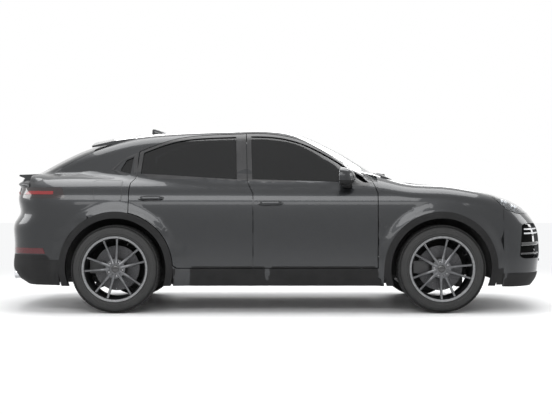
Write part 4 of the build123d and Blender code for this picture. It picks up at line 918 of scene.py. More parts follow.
above, below = (0, 0, 1), (0, 0, -1)
for node in sides("front_door") + sides("rear_door"):
    skin_shell(f"{node}_window_frame", node, [((0.86, 0, 1.121), (0.036, 0, 1))], 0.0012, -0.004,
               window_trim, slot="gloss_trim")
    skin_shell(f"{node}_lower_cladding", node, [((0, 0, 0.4095), below)], 0.0030, -0.003, cladding,
               slot="trim")
for node in sides("body_side"):
    skin_shell(f"{node}_sill_cladding", node, [((0, 0, 0.3915), below)], 0.0030, -0.003, cladding,
               slot="trim", reach=9.0, turn=0.6)
skin_shell("rear_bumper_foot", "rear_bumper", [((0, 0, 0.512), below),
                                               ((-2.03, 0, 0.487), (-0.63, 0, -0.775))], 0.0012, -0.003,
           cladding, slot="trim")
skin_shell("front_bumper_lip", "front_bumper", [((0, 0, 0.345), below)], 0.0040, -0.003, cladding,
           slot="trim", reach=9.0, turn=0.6)

# The black surround of the quarter glass.
for side, turn in (("left", 1), ("right", -1)):
    ring = [(-1.4980, 1.2760), (-1.420, 1.357), (-1.372, 1.386), (-1.30, 1.416), (-1.262, 1.431),
            (-1.258, 1.192), (-1.300, 1.203), (-1.345, 1.213), (-1.42, 1.239)]
    pane = [(-1.478, 1.2745), (-1.4105, 1.3430), (-1.368, 1.370), (-1.305, 1.3960), (-1.293, 1.4005),
            (-1.293, 1.2185), (-1.3400, 1.2290), (-1.412, 1.2520)]
    shell = patch(ring, from_side, [pane], 0.03, 0.0012, -0.003)
    if turn < 0:
        shell = mirrored(*shell)
    obj = piece(f"{side}_quarter_surround", *shell, window_trim, "body", "gloss_trim")
    form_normals(obj.data, reach=4)


def capsule(x0, x1, z0, z1):
    """A rounded bar's outline in the side view."""
    r, middle = (z1 - z0) / 2, (z0 + z1) / 2
    half_turn = np.linspace(-math.pi / 2, math.pi / 2, 10)
    points = [(x1 - r + r * math.cos(a), middle + r * math.sin(a)) for a in half_turn]
    return points + [(x0 + r - r * math.cos(a), middle - r * math.sin(a)) for a in half_turn]


def bar_on_skin(stations, project, count=12):
    """A rounded bar: rows of plane place, second half size, thickness and height off the skin."""
    sections = []
    for (u, v), across, thick, off in stations:
        flat = np.array([(u, v)])
        base, normal = project(flat, 0.0)
        side_a, _ = project(flat + np.array([[0, 0.01]]), 0.0)
        along = side_a[0] - base[0]
        along /= np.linalg.norm(along)
        n = normal[0]
        ring = []
        for k in range(count):
            a = 2 * math.pi * k / count
            c, s = math.cos(a), math.sin(a)
            ring.append(base[0] + n * (off + thick * s * abs(s) ** -0.3 if s else off)
                        + along * across * c * (abs(c) ** -0.3 if c else 1))
        sections.append(ring)
    return loft(sections)


def outward_loft(mesh, name, material, body, slot):
    """A finished piece from a mesh whose faces may still turn inwards."""
    return tidy_normals(piece(name, *mesh, material, body, slot))


for door, x0, x1, z0, z1 in (("rear_door", -1.234, -1.003, 0.988, 1.036),
                             ("front_door", -0.170, 0.058, 0.947, 0.991)):
    middle = (z0 + z1) / 2
    stations = []
    for t in np.linspace(0, 1, 17):
        rise = min(1.0, math.sin(math.pi * t) * 2.2)
        stations.append(((x0 + (x1 - x0) * t, middle + 0.004 * t), 0.006 + 0.0115 * rise,
                         0.003 + 0.0055 * rise, 0.004 + 0.024 * rise))
    bar = bar_on_skin(stations, from_side)
    # Painted shade: a dark capsule lifted just off the skin behind each handle stands in for the shaded
    # recess, which is not modelled.
    cup = patch(capsule(x0 + 0.050, x1 - 0.030, middle - 0.023, middle + 0.027), from_side, (), 0.02,
                0.0006, -0.002)
    for side in ("left", "right"):
        shape, recess_shade = (bar, cup) if side == "left" else (mirrored(*bar), mirrored(*cup))
        outward_loft(shape, f"{side}_{door}_handle", paint, f"{side}_{door}", "paint")
        obj = piece(f"{side}_{door}_handle_recess_shade", *recess_shade, lamp_dark, f"{side}_{door}", "trim")
        form_normals(obj.data, reach=3)

# Fuel flap behind the right rear door.
corner = 0.030
flap = [(-1.386 - corner, 0.962), (-1.386, 0.972), (-1.386, 1.166), (-1.392, 1.173), (-1.600, 1.177),
        (-1.632, 1.165), (-1.638, 1.140), (-1.622, 1.000), (-1.600, 0.968), (-1.585, 0.958)]
grown = [(-1.512 + (x + 1.512) * 1.03, 1.066 + (z - 1.066) * 1.035) for x, z in flap]
line = piece("fuel_flap_gap", *mirrored(*patch(grown, from_side, (), 0.02, 0.0003, -0.003)), seal_rubber,
             "body", "rubber")
form_normals(line.data, reach=3)
lid = piece("fuel_flap", *mirrored(*patch(flap, from_side, (), 0.02, 0.0011, -0.002)), paint, "body",
            "paint")
form_normals(lid.data, reach=3)

# ---------------------------------------------------------------- lamps
reflector_planes = [((0, 0, 0.522), above), ((0, 0, 0.572), below), ((-2.075, 0, 0.545), (-0.5, 0, -0.2))]
for side, turn in (("left", 1), ("right", -1)):
    skin_shell(f"{side}_rear_reflector", "rear_bumper", reflector_planes
               + [((0, turn * 0.62, 0), (0, turn, 0))], 0.0020, -0.003, reflector_lens, slot="red_lens")
    skin_shell(f"{side}_tail_strip", "tail_lamps", [((0, 0, 1.050), above), ((0, 0, 1.080), below),
                                                    ((-1.995, 0, 0), (-1, 0, 0)),
                                                    ((0, turn * 0.3, 0), (0, turn, 0))], 0.0022, -0.003,
               red_lens, slot="red_lens")
skin_shell("light_bar_strip", "light_bar", [((0, 0, 1.056), above), ((0, 0, 1.074), below)], 0.0022, -0.003,
           red_lens)

lamp_view = np.array((0.38, 0.50, 0.78)) / np.linalg.norm((0.38, 0.50, 0.78))
lamp_across = np.cross((0, 0, 1.0), lamp_view) / np.linalg.norm(np.cross((0, 0, 1.0), lamp_view))
lamp_up = np.cross(lamp_view, lamp_across)
lamp_base = np.array((1.75, 0.45, 0.72))


def from_corner(flat, lift):
    """Places on the left front corner seen from outside and above the headlamp."""
    return skin(lamp_base + flat[:, :1] * lamp_across + flat[:, 1:] * lamp_up, lamp_view, lift)


def corner_outline(*runs):
    """An outline for from_corner out of runs of places, each seen its own way."""
    places = np.concatenate([project(np.array(rows, float), 0.0)[0] for project, rows in runs]) - lamp_base
    return np.column_stack([places @ lamp_across, places @ lamp_up])


lamp_edge = corner_outline((from_side, [(1.900, 1.050), (1.950, 1.004), (2.000, 0.957), (2.045, 0.917),
                                        (2.090, 0.899), (2.140, 0.884), (2.200, 0.877), (2.250, 0.873)]),
                           (from_front, [(0.600, 0.871), (0.550, 0.870), (0.510, 0.871)]),
                           (from_above, [(2.236, 0.510), (2.158, 0.612), (2.100, 0.631), (2.000, 0.659),
                                         (1.930, 0.679), (1.904, 0.686), (1.898, 0.760)]))
mask_edge = corner_outline(
    (from_side, [(1.901, 1.048), (1.925, 1.0235), (1.960, 1.0205), (2.000, 1.0195), (2.030, 1.0165)]),
    (from_above, [(2.060, 0.643), (2.000, 0.659), (1.930, 0.679), (1.904, 0.686), (1.898, 0.760)]))


def headlamp(side):
    """Clear cover on the skin, dark housing and side wall behind it, and four round projectors."""
    turn = 1 if side == "left" else -1

    def lamp_piece(label, mesh, look):
        shape = mesh if turn > 0 else mirrored(*mesh)
        return tidy_normals(piece(f"{side}_headlamp_{label}", *shape, look, "body", "lamp"))

    cover = lamp_piece("cover", patch(lamp_edge, from_corner, (), 0.02, 0.0010, -0.0012), clear_lens)
    form_normals(cover.data, reach=3)
    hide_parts("headlamps")
    lamp_piece("mask", patch(mask_edge, from_corner, (), 0.02, 0.0005, -0.0030), lamp_dark)
    lamp_piece("housing", patch(lamp_edge, from_corner, (), 0.02, -0.030, -0.033), lamp_dark)
    inner = lamp_edge + (lamp_edge.mean(0) - lamp_edge) * 0.012
    wall = patch(lamp_edge, from_corner, [inner], 0.02, -0.0014, -0.030)
    lamp_piece("rim", wall, lamp_dark)
    for number, (x, y) in enumerate(((2.045, 0.765), (2.090, 0.700), (2.140, 0.745), (2.185, 0.675))):
        top, _ = from_above(np.array([(x, y)]), -0.012)
        n = Vector((0.82, 0.18, 0.30)).normalized()
        place = Matrix.Translation(top[0]) @ n.to_track_quat("Z", "Y").to_matrix().to_4x4()
        bowl = lathe([(0.0225, 0.0), (0.0225, -0.016), (0.0175, -0.016), (0.0180, -0.004), (0.0200, 0.0)],
                     (0, 0, 0), 28, axis=2, closed=True)
        lens = lathe([(0.0002, 0.0015), (0.008, 0.0005), (0.0135, -0.002), (0.0172, -0.006),
                      (0.0172, -0.014), (0.0002, -0.014)], (0, 0, 0), 28, axis=2)
        for label, data, look in (("bowl", bowl, lamp_silver), ("lens", lens, led_white)):
            moved = [place @ Vector(v) for v in data[0]]
            moved = [(v.x, v.y * turn, v.z) for v in moved]
            outward_loft((moved, data[1]), f"{side}_projector_{label}_{number}", look, "body", "lamp")


for side in ("left", "right"):
    headlamp(side)


# ---------------------------------------------------------------- nose
for side, turn in (("left", 1), ("right", -1)):
    skirt = patch([(1.948, 0.405), (2.050, 0.405), (2.050, 0.243), (1.957, 0.243)], from_side, (), 0.03,
                  -0.0005, -0.006)
    tidy_normals(piece(f"{side}_bumper_skirt", *(skirt if turn > 0 else mirrored(*skirt)), cladding, "body",
                       "trim"))


def painted_shade_backing(name, outline, depth, project):
    """A plain closed near-black sheet set back behind an opening, painted shade for the dark space inside
    it.
    """
    return tidy_normals(piece(name, *patch(outline, project, (), 0.04, -depth, -depth - 0.004),
                              intake_shade, "body", "gloss_trim"))


# Painted shade: near-black sheets behind the grille and the intakes stand in for the dark inside of the
# nose.
painted_shade_backing("grille_backing", [(-0.50, 0.425), (0.50, 0.425), (0.50, 0.775), (-0.50, 0.775)], 0.075,
             from_front)
painted_shade_backing("lower_intake_backing", [(-0.60, 0.296), (0.60, 0.296), (0.60, 0.398), (-0.60, 0.398)], 0.050,
             from_front)
for side, turn in (("left", 1), ("right", -1)):
    outline = [(turn * 0.590, 0.462), (turn * 0.850, 0.462), (turn * 0.850, 0.805), (turn * 0.590, 0.805)]
    if turn < 0:
        outline = outline[::-1]
    painted_shade_backing(f"{side}_intake_backing", outline, 0.055, from_front)


def front_bar(name, y0, y1, z0, z1, off, thick, material, slot, bend=0.0):
    """A rounded bar along the nose between two half widths."""
    stations = [((y, z0 + (z1 - z0) * t + bend * math.sin(math.pi * t)), 0.5 * thick[0], thick[1], off)
                for t, y in ((t, y0 + (y1 - y0) * t) for t in np.linspace(0, 1, 15))]
    sections = []
    for (y, z), across, out, lift in stations:
        base, normal = from_front(np.array([(y, z)]), 0.0)
        n, up = normal[0], np.array((0, 0, 1.0))
        up = up - n * up.dot(n)
        up /= np.linalg.norm(up)
        eight = ((1, -0.6), (1, 0.6), (0.6, 1), (-0.6, 1), (-1, 0.6), (-1, -0.6), (-0.6, -1), (0.6, -1))
        sections.append([base[0] + n * (lift + out * a) + up * across * b for a, b in eight])
    return outward_loft(loft(sections), name, material, "body", slot)


for turn, side in ((1, "left"), (-1, "right")):
    for label, y0, y1, z, fall, off, thick, look, slot in (
            ("day_light_upper", 0.628, 0.826, 0.742, 0.004, -0.006, (0.013, 0.005), lamp_silver, "lamp"),
            ("day_light_lower", 0.628, 0.826, 0.704, 0.004, -0.006, (0.013, 0.005), lamp_silver, "lamp"),
            ("intake_vane", 0.612, 0.838, 0.610, 0.006, -0.012, (0.030, 0.010), black_gloss, "gloss_trim"),
            ("intake_sill", 0.612, 0.838, 0.520, 0.004, -0.014, (0.018, 0.008), black_gloss, "gloss_trim")):
        front_bar(f"{side}_{label}", turn * y0, turn * y1, z, z - fall, off, thick, look, slot)
front_bar("grille_lower_blade", -0.50, 0.50, 0.448, 0.448, 0.004, (0.022, 0.006), black_gloss, "gloss_trim")


def honeycomb(name, width, height, centre_z, depth, cell=0.021):
    """A hexagon mesh across the nose opening, set behind the slats."""
    vertices, faces = [], []
    radius = cell / math.sqrt(3)
    rows, columns = int(height / (1.5 * radius)), int(width / cell)
    corner_angles = [math.radians(60 * k) for k in range(6)]
    for r in range(rows):
        for c in range(columns):
            y = (c - columns / 2 + (0.5 if r % 2 else 0)) * cell
            z = centre_z + (r - rows / 2) * 1.5 * radius
            start = len(vertices)
            vertices += [(y + radius * share * math.sin(a), z + radius * share * math.cos(a))
                         for share in (0.99, 0.78) for a in corner_angles]
            for k in range(6):
                j = (k + 1) % 6
                faces.append((start + k, start + j, start + 6 + j, start + 6 + k))
    flat = np.array(vertices)
    upper, _ = from_front(flat, -depth)
    lower, _ = from_front(flat, -depth - 0.006)
    count = len(flat)
    solid = list(faces) + [tuple(i + count for i in reversed(f)) for f in faces]
    for f in faces:
        a, b, c, d = f
        solid += [(b, a, a + count, b + count), (d, c, c + count, d + count)]
    return tidy_normals(piece(name, np.concatenate([upper, lower]), solid, black_gloss, "body",
                              "gloss_trim"))


honeycomb("grille_mesh", 1.0, 0.32, 0.60, 0.052)
honeycomb("lower_intake_mesh", 1.16, 0.085, 0.345, 0.030)


def plate(name, centre, w=0.520, h=0.112):
    """A blank number plate with a raised rim on a black holder."""
    place = Matrix.Translation(centre)
    outward = 1 if centre[0] > 0 else -1
    for label, grow, x0, x1, look, slot in (("holder", 0.008, -0.010, -0.002, cladding, "trim"),
                                            ("sheet", 0.0, -0.002, 0.000, plate_white, "gloss_trim")):
        rounds = ((1, 1, (0, 45, 90)), (-1, 1, (90, 45, 0)), (-1, -1, (0, 45, 90)), (1, -1, (90, 45, 0)))
        outline = [(sy * (w / 2 + grow - 0.012 + 0.012 * math.cos(a)),
                    sz * (h / 2 + grow - 0.012 + 0.012 * math.sin(a)))
                   for sy, sz, angles in rounds for a in map(math.radians, angles)]
        sections = [[place @ Vector((outward * x, y, z)) for y, z in outline] for x in (x0, x1)]
        outward_loft(loft(sections), f"{name}_{label}", look, "body", slot)
    rim_out = [(w / 2, h / 2), (-w / 2, h / 2), (-w / 2, -h / 2), (w / 2, -h / 2)]
    sections = []
    for inset, x in ((0.0, 0.0), (0.0, 0.0018), (0.006, 0.0018), (0.006, 0.0)):
        sections.append([place @ Vector((outward * x, y * (1 - inset / (w / 2)), z * (1 - inset / (h / 2))))
                         for y, z in rim_out])
    outward_loft(closed_loop(sections), f"{name}_rim", lamp_dark, "body", "gloss_trim")


plate_white = grained("plate_sheet", (0.62, 0.63, 0.63), 0.35, 700, 0.0001, 0.05)
nose_at, _ = from_front(np.array([(0.0, 0.520)]), 0.0)
plate("front_plate", (nose_at[0][0] + 0.010, 0, 0.520))
tail_at, _ = from_back(np.array([(0.0, 0.690)]), 0.0)
plate("rear_plate", (tail_at[0][0] - 0.012, 0, 0.690))

# ---------------------------------------------------------------- tail
for side, turn in (("left", 1), ("right", -1)):
    for number, y in enumerate((0.555, 0.665)):
        skin_at, _ = from_back(np.array([(turn * y, 0.335)]), 0.0)
        x = skin_at[0][0] + 0.035
        tube = [(0.043, 0.16), (0.0445, 0.0), (0.0470, -0.030), (0.0490, -0.036), (0.0475, -0.040),
                (0.0440, -0.036), (0.0415, 0.0), (0.040, 0.16)]
        data = lathe(tube, (x, turn * y, 0.335), 48, axis=0, closed=True)
        outward_loft(data, f"{side}_exhaust_tip_{number}", bright_metal, "body", "iron")
        sleeve = lathe([(0.039, 0.02), (0.0392, 0.15), (0.0002, 0.15), (0.0002, 0.148), (0.037, 0.146),
                        (0.037, 0.02)], (x, turn * y, 0.335), 36, axis=0, closed=False)
        outward_loft(sleeve, f"{side}_exhaust_bore_{number}", lamp_dark, "body", "iron")
ribs = []
for y in (-0.42, -0.21, 0.0, 0.21, 0.42):
    sections = []
    for z in np.linspace(0.262, 0.430, 9):
        base, normal = from_back(np.array([(y, z)]), 0.0)
        n = normal[0]
        swell = 0.016 * math.sin(math.pi * (z - 0.262) / 0.168) + 0.002
        sections.append([base[0] + n * swell + np.array((0, 0.004, 0)),
                         base[0] + n * swell - np.array((0, 0.004, 0)),
                         base[0] - n * 0.006 - np.array((0, 0.006, 0)),
                         base[0] - n * 0.006 + np.array((0, 0.006, 0))])
    ribs.append(loft(sections))
outward_loft(joined(*ribs), "diffuser_fins", cladding, "body", "trim")


def screen_arm(name, foot, tip):
    """A wiper: an arm from its pivot and a blade resting on the windscreen."""
    foot, tip = np.array(foot), np.array(tip)
    along = (tip - foot) / np.linalg.norm(tip - foot)
    across = np.array((-along[1], along[0]))
    meshes = []
    for start, end, half, low, high in ((foot, foot + (tip - foot) * 0.60, 0.007, 0.012, 0.022),
                                        (foot + (tip - foot) * 0.10, tip, 0.0055, 0.004, 0.011),
                                        (foot + (tip - foot) * 0.10, tip, 0.0022, 0.0004, 0.005)):
        sections = []
        for t in np.linspace(0, 1, 15):
            at = start + (end - start) * t
            size = half * (1 - 0.35 * t)
            row = np.array([at + across * size, at - across * size])
            upper, _ = from_above(row, high * (1 - 0.15 * t))
            lower, _ = from_above(row, low * (1 - 0.15 * t))
            sections.append([upper[0], upper[1], lower[1], lower[0]])
        meshes.append(loft(sections))
    base, _ = from_above(foot[None], 0.0)
    pivot = lathe([(0.0002, 0.026), (0.010, 0.025), (0.013, 0.020), (0.015, -0.02), (0.0002, -0.02)],
                  base[0], 24, axis=2)
    outward_loft(joined(*meshes, pivot), name, window_trim, "body", "trim")


screen_arm("driver_wiper", (0.995, 0.10), (0.835, 0.600))
screen_arm("passenger_wiper", (0.985, -0.50), (0.930, 0.070))


def top_piece(name, stations, material, slot):
    """A small closed body along x on the roof: rows of x, half width and height over the skin."""
    sections = []
    for x, half, high in stations:
        base, _ = from_above(np.array([(x, 0.0)]), 0.0)
        z = base[0][2]
        sections.append([(x, half * c, z - 0.004 + (high + 0.004) * max(0.0, s) ** 0.8) for c, s in
                         ((math.cos(a), math.sin(a)) for a in np.linspace(0, math.pi, 15))])
    return outward_loft(loft(sections), name, material, "body", slot)


top_piece("aerial_fin", [(-1.060, 0.020, 0.002), (-1.075, 0.024, 0.010), (-1.110, 0.023, 0.024),
                         (-1.150, 0.019, 0.042), (-1.185, 0.014, 0.054), (-1.205, 0.009, 0.058),
                         (-1.214, 0.005, 0.050), (-1.218, 0.003, 0.004)], paint, "paint")
for number, y in enumerate(np.linspace(-0.58, 0.58, 30)):
    if abs(y) < 0.02:
        continue
    base, normal = from_back(np.array([(y, 1.065)]), 0.0)
    n = normal[0]
    across = np.array((n[1], -n[0], 0.0))
    across /= np.linalg.norm(across)
    sections = []
    for off in (0.0015, 0.0034):
        sections.append([base[0] + n * off + across * a * 0.015 + np.array((0, 0, b * 0.0055))
                         for a, b in ((-1, -1), (1, -1), (1, 1), (-1, 1))])
    outward_loft(loft(sections), f"tail_led_{number}", red_lens, "tailgate", "red_lens")

# ---------------------------------------------------------------- door mirrors
def squared_ring(count, power=0.72):
    """Places round a circle pushed out towards a square's corners: angle, across and up."""
    for a in np.linspace(0, 2 * math.pi, count, endpoint=False):
        c, s = math.cos(a), math.sin(a)
        yield a, math.copysign(abs(c) ** power, c), math.copysign(abs(s) ** power, s)


def cut_level(obj, height, keep):
    """Cuts a closed piece at a height, keeps the part on one side and closes the cut."""
    work = bmesh.new()
    work.from_mesh(obj.data)
    everything = work.verts[:] + work.edges[:] + work.faces[:]
    bmesh.ops.bisect_plane(work, geom=everything, dist=0.00001, plane_co=(0, 0, height), plane_no=keep,
                           clear_inner=True)
    bmesh.ops.holes_fill(work, edges=[e for e in work.edges if e.is_boundary])
    work.to_mesh(obj.data)
    work.free()
    tidy_normals(obj)


def mirror_shell(turn):
    """Stations along the mirror from its glass forwards: x, middle y, middle z, half width, half height."""
    rows = [(0.556, 0.984, 1.207, 0.094, 0.074), (0.560, 0.984, 1.207, 0.0975, 0.0775),
            (0.585, 0.983, 1.207, 0.099, 0.079), (0.615, 0.981, 1.206, 0.096, 0.076),
            (0.645, 0.978, 1.204, 0.086, 0.068), (0.668, 0.974, 1.202, 0.068, 0.054),
            (0.681, 0.970, 1.200, 0.042, 0.034), (0.6845, 0.968, 1.199, 0.015, 0.012)]
    sections = []
    for x, y, z, a, b in rows:
        sections.append([(x - 0.012 * math.cos(t), turn * (y + a * across), z + b * up)
                         for t, across, up in squared_ring(40)])
    return loft(sections)


for side, turn in (("left", 1), ("right", -1)):
    door = f"{side}_front_door"
    shell = mirror_shell(turn)
    upper = outward_loft(shell, f"{side}_mirror_cap", paint, door, "paint")
    cut_level(upper, 1.176, above)
    lower = outward_loft(shell, f"{side}_mirror_foot", cladding, door, "trim")
    for v in lower.data.vertices:
        v.co.z = 1.203 + (v.co.z - 1.203) * 0.985
        v.co.y = turn * (0.980 + (abs(v.co.y) - 0.980) * 0.985)
    cut_level(lower, 1.178, below)
    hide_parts(f"{side}_door_mirror")
    sections = [[(x - 0.010 * math.cos(t), turn * (0.984 + 0.082 * across), 1.207 + 0.063 * up)
                 for t, across, up in squared_ring(40)] for x in (0.5535, 0.5575)]
    outward_loft(loft(sections), f"{side}_mirror_glass", mirror_glass, door, "gloss_trim")
    stalk = []
    for t in np.linspace(0, 1, 11):
        y = 0.862 + 0.075 * t
        z = 1.112 + 0.040 * t + 0.018 * t**3
        half_x, half_z = 0.046 - 0.012 * t, 0.017 - 0.003 * math.sin(math.pi * t)
        stalk.append([(0.628 + half_x * c, turn * y, z + half_z * s) for c,
                      s in ((math.cos(a), math.sin(a)) for a in np.linspace(0, 2 * math.pi, 20,
                                                                            endpoint=False))])
    outward_loft(loft(stalk), f"{side}_mirror_stalk", cladding, door, "trim")

# ---------------------------------------------------------------- cabin
def pitch(degrees):
    return Matrix.Rotation(math.radians(degrees), 4, "Y")


def slab(name, size, centre, edge, material, body, slot, turn=pitch(0)):
    """A box with rounded edges, turned about its centre."""
    work = bmesh.new()
    bmesh.ops.create_cube(work, size=1.0)
    for v in work.verts:
        v.co = Vector((v.co.x * size[0], v.co.y * size[1], v.co.z * size[2]))
    bmesh.ops.bevel(work, geom=work.edges[:], offset=edge, segments=3, profile=0.6, affect="EDGES")
    work.transform(Matrix.Translation(centre) @ turn)
    mesh = bpy.data.meshes.new(name)
    work.to_mesh(mesh)
    work.free()
    mesh.materials.append(material)
    obj = bpy.data.objects.new(name, mesh)
    scene.collection.objects.link(obj)
    tidy_normals(obj)
    mesh.set_sharp_from_angle(angle=math.radians(50))
    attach(obj, body)
    return obj


def cushion(name, size, centre, turn, crown, bolster, flutes):
    """A padded panel: crowned middle with stitched flutes across it and raised bolsters along both sides."""
    length, width, thick = size
    across, along = 36, 34
    grid_top, grid_low = [], []
    for i in range(along + 1):
        u = i / along
        for j in range(across + 1):
            v = j / across * 2 - 1
            edge_u = 1 - abs(2 * u - 1) ** 6
            edge_v = 1 - abs(v) ** 8
            side = bolster * math.exp(-((abs(v) - 0.80) / 0.13) ** 2)
            groove = 0.0
            if abs(v) < 0.62:
                phase = (u * flutes) % 1.0
                groove = -0.011 * math.exp(-(min(phase, 1 - phase) / 0.07) ** 2)
            seam = -0.010 * math.exp(-((abs(v) - 0.64) / 0.022) ** 2)
            half = thick / 2 * (0.35 + 0.65 * math.sqrt(max(0.0, edge_u * edge_v)))
            height = half + crown * edge_u * (1 - v * v) + (side + groove + seam) * min(1.0, edge_u * 1.6)
            grid_top.append((length * (u - 0.5), width * v / 2, height))
            grid_low.append((length * (u - 0.5), width * v / 2, -half))
    vertices = grid_top + grid_low
    row, count = across + 1, (across + 1) * (along + 1)
    faces = []
    for i in range(along):
        for j in range(across):
            a = i * row + j
            faces.append((a, a + row, a + row + 1, a + 1))
            faces.append((a + count, a + 1 + count, a + row + 1 + count, a + row + count))
    border = [i * row for i in range(along + 1)] + [along * row + j for j in range(1, row)]
    border += [i * row + across for i in reversed(range(along))] + [j for j in reversed(range(1, across))]
    for a, b in zip(border, border[1:] + border[:1]):
        faces.append((a, b, b + count, a + count))
    matrix = Matrix.Translation(centre) @ turn
    moved = [matrix @ Vector(v) for v in vertices]
    obj = tidy_normals(piece(name, moved, faces, leather, "body", "leather"))
    obj.data.set_sharp_from_angle(angle=math.radians(70))
    return obj


def front_seat(side):
    turn = 1 if side == "left" else -1
    y = turn * 0.390
    name = f"{side}_front_seat"
    cushion(f"{name}_cushion", (0.500, 0.500, 0.130), (0.165, y, 0.512), pitch(-6), 0.018, 0.030, 5)
    cushion(f"{name}_back", (0.620, 0.500, 0.115), (-0.195, y, 0.838), pitch(-68), 0.014, 0.036, 6)
    cushion(f"{name}_headrest", (0.190, 0.290, 0.095), (-0.318, y, 1.210), pitch(-74), 0.012, 0.004, 1)
    slab(f"{name}_shell", (0.560, 0.420, 0.050), (-0.255, y, 0.800), 0.022, cladding, "body", "trim",
         pitch(-68))
    slab(f"{name}_base", (0.440, 0.430, 0.150), (0.170, y, 0.385), 0.030, cladding, "body", "trim")
    for rail in (-0.17, 0.17):
        slab(f"{name}_rail_{'a' if rail < 0 else 'b'}", (0.50, 0.045, 0.034), (0.150, y + rail, 0.293),
             0.006, bolt_metal, "body", "iron")
    for post in (-0.055, 0.055):
        data = lathe([(0.0002, -0.05), (0.006, -0.05), (0.006, 0.05), (0.0002, 0.05)], (0, 0, 0), 16,
                     axis=0)
        place = Matrix.Translation((-0.300, y + post, 1.115)) @ pitch(-74)
        outward_loft(([place @ Vector(v) for v in data[0]], data[1]),
                     f"{name}_post_{'a' if post < 0 else 'b'}", bright_metal, "body", "iron")


for side in ("left", "right"):
    front_seat(side)
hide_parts("front_seats")
for number, (y, width) in enumerate(((0.355, 0.385), (0.0, 0.310), (-0.355, 0.385))):
    label = ("left", "middle", "right")[number]
    base = cushion(f"rear_{label}_cushion", (0.470, width, 0.130), (-0.690, y, 0.625), pitch(-5), 0.014,
                   0.016, 4)
    cushion(f"rear_{label}_back", (0.580, width, 0.110), (-1.045, y, 0.945), pitch(-69), 0.012, 0.018, 5)
    cushion(f"rear_{label}_headrest", (0.150, width * 0.66, 0.085), (-1.180, y, 1.282), pitch(-74), 0.010,
            0.003, 1)
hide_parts("rear_seat")

column = Vector((-math.cos(math.radians(24)), 0, math.sin(math.radians(24))))
wheel_at = Vector((0.520, 0.390, 0.985))
wheel_turn = column.to_track_quat("Z", "Y").to_matrix().to_4x4()
wheel_place = Matrix.Translation(wheel_at) @ wheel_turn


def on_wheel(mesh):
    return [wheel_place @ Vector(v) for v in mesh[0]], mesh[1]


grip = []
for k in range(72):
    a = 2 * math.pi * k / 72
    thumb = 0.0025 * (math.exp(-((math.degrees(a) - 60) / 14) ** 2)
                      + math.exp(-((math.degrees(a) - 120) / 14) ** 2))
    flat_foot = 1 - 0.05 * math.exp(-((math.degrees(a) - 270) / 26) ** 2)
    ring = []
    for q in range(16):
        b = 2 * math.pi * q / 16
        r = 0.180 * flat_foot + (0.0145 + thumb) * math.cos(b)
        ring.append((r * math.cos(a), r * math.sin(a), (0.0165 + thumb) * math.sin(b)))
    grip.append(ring)
rim = outward_loft(on_wheel(closed_loop(grip)), "steering_grip", leather, "steering_wheel", "leather")
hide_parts("steering_wheel")
pad = lathe([(0.0002, 0.008), (0.030, 0.006), (0.048, 0.0), (0.056, -0.010), (0.056, -0.030),
             (0.0002, -0.032)], (0, 0, 0), 48, axis=2)
pad = ([(x * 1.1, y * 0.92, z) for x, y, z in pad[0]], pad[1])
outward_loft(on_wheel(pad), "steering_pad", leather, "steering_wheel", "leather")
for number, degrees in enumerate((8, 172, 270)):
    a = math.radians(degrees)
    sections = []
    for t in np.linspace(0, 1, 8):
        r = 0.045 + 0.128 * t
        half, low = 0.020 - 0.006 * math.sin(math.pi * t), -0.018 + 0.006 * t
        c, d = math.cos(a), math.sin(a)
        sections.append([(r * c - s * half * d, r * d + s * half * c, low + q) for s,
                         q in ((-1, 0), (1, 0), (1, 0.011), (0.7, 0.014), (-0.7, 0.014), (-1, 0.011))])
    outward_loft(on_wheel(loft(sections)), f"steering_spoke_{number}",
                 black_gloss if degrees == 270 else cladding, "steering_wheel", "leather")
shaft = lathe([(0.0002, -0.028), (0.024, -0.028), (0.024, -0.0595), (0.0002, -0.0595)], (0, 0, 0), 32,
              axis=2)
outward_loft(on_wheel(shaft), "steering_shaft", cladding, "steering_wheel", "leather")

for name, size, centre, edge, look, slot, lean in (("instrument_hood", (0.150, 0.400, 0.070),
                                                    (0.715, 0.390, 1.066), 0.03, leather, "leather", 8),
                                                   ("instrument_screen", (0.006, 0.320, 0.085),
                                                    (0.634, 0.390, 1.050), 0.003, screen_black,
                                                    "gloss_trim", -14),
                                                   ("centre_screen", (0.012, 0.300, 0.130),
                                                    (0.628, 0.0, 1.035), 0.005, screen_black, "gloss_trim",
                                                    -16), ("dash_trim_strip", (0.010, 1.300, 0.026),
                                                           (0.634, 0.0, 0.945), 0.004, bright_metal,
                                                           "gloss_trim", 20),
                                                   ("console_lid", (0.300, 0.230, 0.050),
                                                    (-0.060, 0, 0.648), 0.02, leather, "leather", 0),
                                                   ("console_tray", (0.260, 0.200, 0.012),
                                                    (0.330, 0, 0.642), 0.005, black_gloss, "gloss_trim", 0),
                                                   ("selector_base", (0.070, 0.055, 0.020),
                                                    (0.245, 0.0, 0.652), 0.006, bright_metal, "gloss_trim",
                                                    0), ("selector", (0.034, 0.040, 0.060),
                                                         (0.250, 0.0, 0.684), 0.012, leather, "leather",
                                                         12),
                                                   ("inner_mirror", (0.018, 0.240, 0.066),
                                                    (0.300, 0, 1.478), 0.008, black_gloss, "gloss_trim",
                                                    -12), ("inner_mirror_mount", (0.070, 0.030, 0.022),
                                                           (0.335, 0, 1.500), 0.008, cladding, "trim", 26),
                                                   ("load_floor", (0.800, 1.000, 0.012),
                                                    (-1.800, 0, 0.4405), 0.004, carpet, "leather", 0),
                                                   ("rear_seat_plinth", (0.470, 1.080, 0.130),
                                                    (-0.700, 0, 0.500), 0.02, carpet, "leather", 0),
                                                   ("rear_seat_shell", (0.620, 1.080, 0.040),
                                                    (-1.105, 0, 0.900), 0.015, carpet, "leather", -69)):
    slab(name, size, centre, edge, look, "body", slot, pitch(lean))
